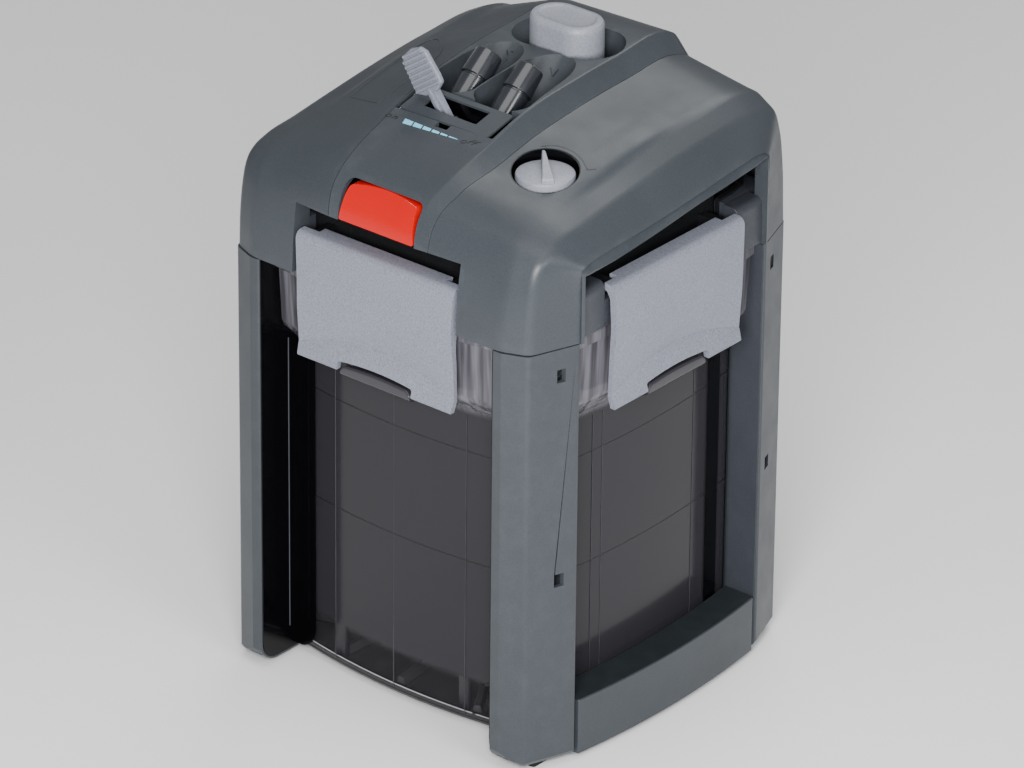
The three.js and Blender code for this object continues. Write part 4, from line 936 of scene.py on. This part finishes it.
def build_tank_floor():
    """Pale clear floor, painted near-white with a faint glow for the lit table seen through it, with dark radial
    ribs, short pillars near the walls and a dark bottom rim.
    """
    plate = prism("tank_floor_plate", bulged(95.6, 90.7, 5.2, 8.4, 9, 14), 7.2, 7.8)
    done(plate, "smoke_clear", FLOOR_PAINTED_GLOW)
    ribs = []
    for x0, y0, x1, y1 in ((-49.7, 50, -52, 84), (-8.7, 50, -4.3, 90), (26.5, 50, 50, 87),
                           (-14, 20, -49.7, 50), (10, 20, 26.5, 50)):
        for sy in (-1, 1):
            ribs.append(hull("rib", rib_points((x0, sy * y0), (x1, sy * y1), 3.2, 7.4, 13.5)))
    for x0, y0, x1, y1 in ((58, -50, 93, -62), (62, -12, 95, -16), (62, 22, 95, 28), (58, 48, 92, 64)):
        for sx in (-1, 1):
            ribs.append(hull("rib", rib_points((sx * x0, y0), (sx * x1, y1), 3.2, 7.4, 13.5)))
    done(join("tank_floor_ribs", ribs), "smoke_clear", BASKET, angle=30)
    pillars = []
    for x, sy in ((-53, -1), (40, -1), (-40, 1), (53, 1)):
        y = sy * (tank_wall(x) - 7)
        pillars.append(prism("p", rounded_box(x - 4, x + 4, y - 2.4, y + 2.4, 2), 7.4, 29.6))
    done(join("tank_pillars", pillars), "smoke_clear", SMOKE_SOLID, angle=30)
    rim = tank_loft("tank_bottom_rim", (
        (3.9, 94, 89.2, 9.4), (3.6, 95.8, 90.9, 10.2), (4.4, 97.3, 92.4, 11), (6.6, 98.7, 93.7, 11.6),
        (7, 98.4, 93.4, 11.4), (5, 96.4, 91.4, 10.6)), close=True)
    done(rim, "smoke_clear", DARK, angle=30)


def build_basket_walls():
    """Outer walls of the three stacked baskets as they show through the tank, with their joint lines."""
    for name, z0, z1 in (("media_basket_lower_wall", 31.5, 103.6), ("media_basket_upper_wall", 105, 178.6),
                         ("prefilter_basket_wall", 180, 202)):
        plan = bulged(94.4, 89, 5, 8, 7, 14)
        inner = bulged(93, 87.6, 5, 8, 6, 14)
        wall = boolean(prism(name, plan, z0, z1), prism("in", inner, z0 - 1, z1 + 1))
        boolean(wall, box("bay", 57, 120, 47, 120, z0 - 1, z1 + 1))
        done(wall, "basket_grey", BASKET, edge=0.4)
    ribbons = []
    for z in (107, 176):
        ring = [(x, y) for x, y in bulged(99.52, 94.62, 5.2, 8.4, 12, 14)]
        ribbon = prism("r", ring, z - 0.28, z + 0.28)
        boolean(ribbon, prism("in", bulged(98.6, 93.7, 5.2, 8.4, 11.2, 14), z - 2, z + 2))
        ribbons.append(ribbon)
    done(join("tank_joint_lines", ribbons), "smoke_clear", DARK)


def rib_points(a, b, half, z0, z1):
    a, b = Vector(a), Vector(b)
    across = Vector((-(b - a).y, (b - a).x)).normalized()
    corners = [p + across * h for p in (a, b) for h in (-half, half)]
    crest = [p + across * h for p in (a, b) for h in (-half * 0.5, half * 0.5)]
    return [(*c, z0) for c in corners] + [(*c, z1) for c in crest]


def build_latch_lips():
    """The tank's lip under each clip's notch."""
    for side, turn, face in CLIPS:
        wall = 96 if side in ("front", "rear") else 100
        outline = [(-wall, 206.5), (-face + 4, 208.6), (-face + 1.4, 210.2), (-face + 0.7, 211.6),
                   (-face + 0.9, 216.4), (-face + 1.8, 217.2), (-face + 4.6, 217.2), (-face + 5.4, 214.5),
                   (-wall, 211.5)]
        xs = [-25.4, -24.6, -22.6] + list(np.linspace(-18, 18, 9)) + [22.6, 24.6, 25.4]
        rings = []
        for x in xs:
            drop = 1.5 * (x / 27) ** 2 + 2.2 * max(0, abs(x) - 22.6) / 2.8
            rings.append([(x, y, z - (drop if z > 212 else 0)) for y, z in outline])
        lip = move(loft("tank_latch_lip_" + side, rings), turn_z(turn))
        done(lip, "smoke_clear", SMOKE_SOLID, edge=0.4)


def build_liners():
    """Glossy black sheets between the posts and the tank, as painted shade in that crevice, with a grey bead as a
    painted highlight in it, and the intake shroud in its corner.
    """
    for corner, sx, sy in CORNERS:
        foot = rounded([(117.6, 5.2), (117.6, 261.6), (86.8, 261.6), (86.8, 5.2)], [13, 1, 1, 1], 8)
        # The sheet on the post's inner side and the strip on the tank's corner are painted shade in the crevice
        # between post and tank.
        flank = slab_x("post_shade_sheet_" + corner, foot, 84.1, 84.75)
        strip = [(x, tank_wall(x) + 0.45) for x in np.linspace(84.6, 68.5, 8)]
        strip += [(x, y + 0.55) for x, y in reversed(strip)]
        band = prism("strip", strip, 5.2, 203)
        low = [(68.4, 203), (68.4, 21.2)] + arc(84.4, 21.2, 16, 180, 270, 8) + [(90, 5.2), (90, 203)]
        boolean(band, slab_y("cut", low, 60, 110), "INTERSECT")
        # A grey bead in the black crevice: a painted highlight for the light line reflected there.
        bead = rod("bead", (84.1, 94.8, 20), (84.1, 94.8, 205), 0.4, segments=10)
        made = join("post_shade_sheet_" + corner, [flank, band])
        mirror(made, sx, sy)
        done(made, "inner_black", BLACK_AND_PAINTED_SHADE)
        mirror(bead, sx, sy)
        bead.name = "post_highlight_bead_" + corner
        done(bead, "housing_grey", HEAD_DARK)
        inner = box("post_inner_" + corner, 96, 115.6, 80.9, 81.5, 6, 261.6)
        mirror(inner, sx, sy)
        done(inner, "housing_grey", HEAD_DARK)
    strip = [(tank_side(y) + 0.1, y) for y in np.linspace(58, 69.5, 8)]
    strip += [(x + 0.3, y) for x, y in reversed(strip)]
    edge = prism("intake_window_strip", strip, 12, 200)
    done(edge, "inner_black", BLACK_AND_PAINTED_SHADE)
    outline = rounded([(60, 50), (94.6, 50), (93.4, 74), (87, 86), (60, 90.6)], [2, 4, 6, 8, 2])
    shroud = prism("intake_shroud", outline, 14, 200)
    inset = rounded([(61.6, 51.6), (93, 51.6), (91.9, 73.6), (86, 84.6), (61.6, 89)], [2, 4, 6, 8, 2])
    boolean(shroud, prism("in", inset, 10, 210))
    done(shroud, "inner_black", BLACK_AND_PAINTED_SHADE, edge=0.3)


POST_OUTLINE = [(84.8, 118.7), (91.2, 118.7), (106, 112.9), (117, 81.6), (94.2, 81.6), (84.8, 86.1)]


def foot_body(base, top):
    """A body whose outer faces draw in towards the bottom, as the posts' feet do."""
    rings = []
    for inset, z in ((6.5, base), (4.2, base + 0.8), (2.4, base + 2.2), (1, base + 4.2), (0.3, base + 6.2),
                     (0, base + 8), (0, top)):
        rings.append([(70, 60, z), (70, 119.6 - inset, z), (91.4 - 0.35 * inset, 119.6 - inset, z),
                      (106.6 - 0.75 * inset, 113.5 - 0.8 * inset, z), (118 - inset, 81.6, z), (118 - inset, 60, z)])
    return loft("foot", rings)


def build_frame():
    base, top = 3.4, SEAM_Z - 0.4
    for corner, sx, sy in CORNERS:
        outline = rounded(POST_OUTLINE, [1.5, 2, 5, 1.5, 1, 1], 5)
        post = prism("post_" + corner, outline, base, top)
        foot = [(70, base)] + arc(104.6, base + 15, 15, -90, 0, 8) + [(119.6, top + 1), (70, top + 1)]
        boolean(post, slab_x("foot", foot, 70, 125), "INTERSECT")
        boolean(post, foot_body(base, top + 1), "INTERSECT")
        hollow = [(88, 115.7), (91, 115.7), (103.6, 110.4), (113.2, 84.8), (88, 84.8)]
        boolean(post, [prism("hollow", hollow, base + 3, top - 3),
                       box("bay", 87, 97, 84, 115.6, base + 3, top - 3),
                       box("slit", 106, 125, 90.4, 95.6, 242, 250),
                       box("slit", 106, 125, 90, 96, 115, 123)])
        mirror(post, sx, sy)
        boolean(post, tank_loft("tank", [(-2, 95.8, 90.9, 10.4)] + tank_rings(0.4)[:-2]
                                + [(253.2, 114.4, 113.6, 20.4), (270, 114.4, 113.6, 20.4)]))
        done(post, "housing_grey", FRAME_GREY, ["corner_post_" + corner], edge=0.7)
        pad = prism("foot_" + corner, rounded_box(-6.5, 6.5, -6.5, 6.5, 2.5), 0, 3)
        move(pad, Matrix.Translation((sx * 98 * MM, sy * 96 * MM, 0)))
        done(pad, "seal_rubber", RUBBER, ["foot_pad_" + corner], edge=0.6)
    for side, sx in (("right", 1), ("left", -1)):
        ys = np.linspace(-78.8, 78.8, 29)
        outer = [(117 + 5.6 * (1 - (y / 79) ** 2), y) for y in ys]
        inner = [(x - 21.5, y) for x, y in reversed(outer)]
        rail = prism("rail_" + side, outer + inner, 3.4, 38)
        hollow = [(x - 3, y * 0.86) for x, y in outer] + [(x + 3, y * 0.86) for x, y in inner]
        boolean(rail, prism("h", hollow, 0, 35))
        mirror(rail, sx)
        done(rail, "housing_grey", FRAME_GREY, ["side_rail_" + side], edge=0.7)
        plan = [(x - 0.9, y) for x, y in outer] + [(x + 0.9, y) for x, y in inner]
        top = prism("rail_top_" + side, plan, 37.8, 38.3)
        mirror(top, sx)
        done(top, "housing_grey", RAIL_TOP)


# ---- pump head seen in the windows
def build_head():
    levels = [(265.4, 112.6, 111.8, 19), (286, 112.2, 111.4, 19), (289, 111.2, 110.4, 18),
              (290.6, 109, 108.2, 17), (291.2, 105, 104, 15)]
    body = tank_loft("pump_head_collar", levels)
    for _, turn, face in CLIPS:
        recess = box("r", -60.4, 60.4, -135, -(face - 25.5), 262, 300)
        move(recess, turn_z(turn))
        boolean(body, recess)
    boolean(body, prism("in", bulged(99, 97, 4, 4, 20, 14), 262, 300))
    done(body, "inner_black", HEAD_DARK, edge=1.2)
    # Shoulders beside the side clips, and dark panels with seams behind the front and rear windows.
    blocks = []
    for sx in (-1, 1):
        for sy in (-1, 1):
            side = rounded([(104, 263.4), (115, 263.4), (114.6, 291.4), (104, 291.4)], [0, 0.6, 5, 0])
            block = slab_y("block", side, 58.4, 81.2)
            bevel(block, 1.4, 3, 50)
            blocks.append(mirror(block, sx, sy))
            backing = box("block", 111, 114.8, 47, 59, 263.6, 280)
            blocks.append(mirror(backing, sx, sy))
    done(join("pump_head_shoulders", blocks), "housing_grey", SHOULDER_GREY)
    for name, turn in (("front", 0), ("rear", 180)):
        panel = box("window_panel_" + name, -61, 61, -95.3, -93.8, 268, 301.5)
        for x in (-36.3, 18.3, 52):
            boolean(panel, box("seam", x - 0.5, x + 0.5, -96, -94.6, 260, 310))
        move(panel, turn_z(turn))
        done(panel, "inner_black", DARK, edge=0.2)


# ---- marks printed or moulded on the cover
def surface_finder(*objects):
    """A function that drops a point along SIGHT onto the nearest of the objects' surfaces."""
    bm = bmesh.new()
    for ob in objects:
        bm.from_mesh(ob.data)
    tree = BVHTree.FromBMesh(bm)
    bm.free()

    def find(x, y, z):
        start = Vector((x, y, z)) * MM
        hit = tree.ray_cast(start - SIGHT * 0.06, SIGHT)
        if hit[0] is None:
            return start / MM, Vector((0, 0, 1))
        normal = hit[1] if hit[1].dot(SIGHT) < 0 else -hit[1]
        return hit[0] / MM, normal
    return find


def stroke(name, find, points, width, lift=0.12):
    """A thin raised line through points, laid on the surface; width is one number or one per point."""
    widths = width if isinstance(width, (list, tuple)) else [width] * len(points)
    path = [Vector(p) for p in points]
    found = [find(*p) for p in path]
    rings = []
    for i, (spot, normal) in enumerate(found):
        ahead = found[min(i + 1, len(found) - 1)][0] - found[max(i - 1, 0)][0]
        across = ahead.cross(normal).normalized() * widths[i] / 2
        rings.append([spot - across + normal * lift, spot + across + normal * lift,
                      spot + across - normal * 0.4, spot - across - normal * 0.4])
    return loft(name, rings)


def patch(name, find, corners, lift=0.12):
    """A thin raised quadrilateral laid on the surface."""
    a, b, c, d = (Vector(p) for p in corners)
    rings = []
    for t in (0, 0.5, 1):
        low, high = find(*a.lerp(b, t)), find(*d.lerp(c, t))
        rings.append([low[0] + low[1] * lift, high[0] + high[1] * lift, high[0] - high[1] * 0.4,
                      low[0] - low[1] * 0.4])
    return loft(name, rings)


def build_marks(find):
    bars = []
    starts = [-28.4, -21.4, -14.6, -8.2, -2.2, 3.6]
    ends = [-22.4, -15.7, -9.4, -3.4, 2.4, 9.6]

    def corner(x, top):
        t = (x + 28.4) / 38
        skew = -1.2 if top else 1.2
        y = (-57.6 - 1.6 * t) if top else (-63 + 3.4 * t)
        return (x + skew * (1 - t), y, 344.5)

    for x0, x1 in zip(starts, ends):
        bars.append(patch("bar", find, [corner(x0, False), corner(x1, False), corner(x1, True), corner(x0, True)]))
    done(join("flow_scale", bars), "housing_grey", PRINT_BLUE)

    def ring(cx, cy, r, z):
        return [(cx + r * 0.85 * math.cos(a), cy + r * math.sin(a), z)
                for a in (TAU * i / 14 for i in range(15))]

    def upright(x, y, height, z):
        return [(x, y - height / 2, z), (x + 0.3, y, z), (x + 0.6, y + height / 2, z)]

    lines = [ring(-39.4, -60.4, 1.7, 344.4), upright(-36.2, -60.3, 3.6, 344.4),
             [(-36.0, -59.4, 344.4), (-35, -58.6, 344.4), (-33.9, -58.9, 344.4), (-33.8, -61.9, 344.4)],
             ring(14.6, -60.0, 1.8, 344.8)]
    for x in (17.6, 20.4):
        lines.append([(x, -60.6, 345), (x + 0.5, -56.6, 345), (x + 1.2, -55.2, 345), (x + 2.4, -55, 345)])
        lines.append([(x - 0.6, -57.6, 345), (x + 1.6, -57.4, 345)])
    marks = [stroke("m", find, line, 0.55) for line in lines]
    # Flow marks in the two nozzle channels.
    marks += [stroke("m", find, line, 0.7) for line in (
        [(-42.3, 44.6, 346), (-40.8, 44.4, 346)], [(-39.2, 45.2, 346), (-37.6, 45.2, 346)],
        [(-40.6, 43.2, 346), (-37.2, 40.2, 346)], [(-34.6, 35.6, 346), (-33.6, 34.6, 346)],
        [(-9, 43.3, 346), (-0.5, 34.7, 346)], [(-0.5, 34.7, 346), (-3.9, 44.1, 346)])]
    # Setting arc behind the dial, ending in a short pointer.
    arc_points = [(43.9, -29.3), (50.2, -23), (59.7, -22.4), (69.6, -25.8), (78.1, -31.9), (82.2, -35.1)]
    marks.append(stroke("m", find, smooth_path(arc_points, 340), 0.6))
    marks.append(stroke("m", find, [(82.2, -35.1, 340), (85.3, -31.5, 340)], 0.6))
    done(join("cover_marks", marks), "housing_grey", PRINT_DARK)
    outline = [(-74.6, -52.6), (-58.7, -49.7), (-57.2, -46.9), (-60, -33.8), (-66, 0), (-72, 22), (-84.7, 36.3),
               (-89, 29.9), (-87.4, 14.2), (-79.9, -29.1), (-74.6, -52.6)]
    bead = stroke("cover_left_bead", find, smooth_path(outline, 343), 1.0, 0.3)
    done(bead, "housing_grey", HOUSING)


def smooth_path(points, z, steps=5):
    """A curve through [x, y] points at one height."""
    path = []
    for i in range(len(points) - 1):
        p0, p1, p2, p3 = (Vector(points[min(max(j, 0), len(points) - 1)]) for j in (i - 1, i, i + 1, i + 2))
        for k in range(steps):
            t = k / steps
            q = 0.5 * (2 * p1 + (p2 - p0) * t + (2 * p0 - 5 * p1 + 4 * p2 - p3) * t ** 2
                       + (3 * p1 - p0 - 3 * p2 + p3) * t ** 3)
            path.append((q.x, q.y, z))
    return path + [(*points[-1], z)]


# ---- filter stack
def build_pads():
    """Soft foam and fleece pads: crowned, with rounded rims that sag a little between the basket walls."""
    for name, node, z0, z1, fill, slot_name, material in (
            ("foam_block", "foam_pad", 182.6, 210, 0.9, "foam_blue", FOAM),
            ("fleece_layer", "fleece_pad", 165, 175, 0.5, "fleece_white", FLEECE)):
        plan = pad_plan()
        centre = Vector((-6, -3))
        height = z1 - z0
        rings = []
        for share, rise in ((0.02, 0.0), (0.5, 0.0), (0.9, 0.0), (0.975, 0.06), (0.995, 0.25), (1.0, 0.5),
                            (0.995, 0.75), (0.975, 0.93), (0.9, 0.99), (0.5, 1.0), (0.02, 1.0)):
            ring = []
            for i, (x, y) in enumerate(plan):
                p = centre + (Vector((x, y)) - centre) * share
                wave = 0.35 * math.sin(i * 0.7 + rise * 5) + 0.3 * math.sin(p.x * 0.11) * math.cos(p.y * 0.13)
                ring.append((p.x, p.y, z0 + height * rise + wave * (1 if rise > 0.5 else 0.2)))
            rings.append(ring)
        pad = loft(name, rings)
        done(pad, slot_name, material, [node], angle=60)


def pad_plan():
    """Basket plan without the intake bay at the rear right."""
    bay_x, bay_y = 54.6, 44.6
    full = bulged(88.4, 82.4, 4.6, 7, 12, 10)
    in_bay = [x > bay_x and y > bay_y for x, y in full]
    start = in_bay.index(True)
    plan = [point for point, inside in zip(full, in_bay) if not inside]
    notch = [(plan[start - 1][0], bay_y), (bay_x, bay_y), (bay_x, plan[start][1])]
    return plan[:start] + notch + plan[start:]


# ---- carried-over CAD nodes
def shade_nodes():
    kinds = {DARK: ["pump_head_body", "pump_head_lid", "hose_adapter_block", "impeller_rotor", "impeller_cover",
                    "riser_duct"],
             RUBBER: ["sealing_ring", "adapter_seal_inlet", "adapter_seal_outlet", "priming_piston_seal",
                      "shaft_bush_upper", "shaft_bush_lower", "cable_gland"],
             STEEL: ["lid_screw_1", "lid_screw_2", "lid_screw_3", "lid_screw_4", "release_spring",
                     "clip_pin_front", "clip_pin_right", "clip_pin_rear", "clip_pin_left"],
             CERAMIC: ["impeller_shaft"], VALVE: ["valve_drum_inlet", "valve_drum_outlet", "bypass_shutter"],
             POTTING: ["motor_block"], BASKET: ["media_basket_lower", "media_basket_upper", "prefilter_basket"],
             MEDIA: ["media_rings", "media_balls"]}
    for material, nodes in kinds.items():
        for node in nodes:
            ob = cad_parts[node]
            ob.data.materials.clear()
            ob.data.materials.append(material)
            ob.modifiers.new("weld", "WELD").merge_threshold = 2e-6


make_camera()
make_stage()
covers = build_covers()
build_marks(surface_finder(*covers))
build_button()
build_nozzles()
build_slot_plate()
build_lever()
build_primer()
build_priming_spring()
build_dial()
for clip in CLIPS:
    build_clip(*clip)
build_tank()
build_tank_floor()
build_basket_walls()
build_latch_lips()
build_frame()
build_liners()
build_head()
build_pads()
shade_nodes()
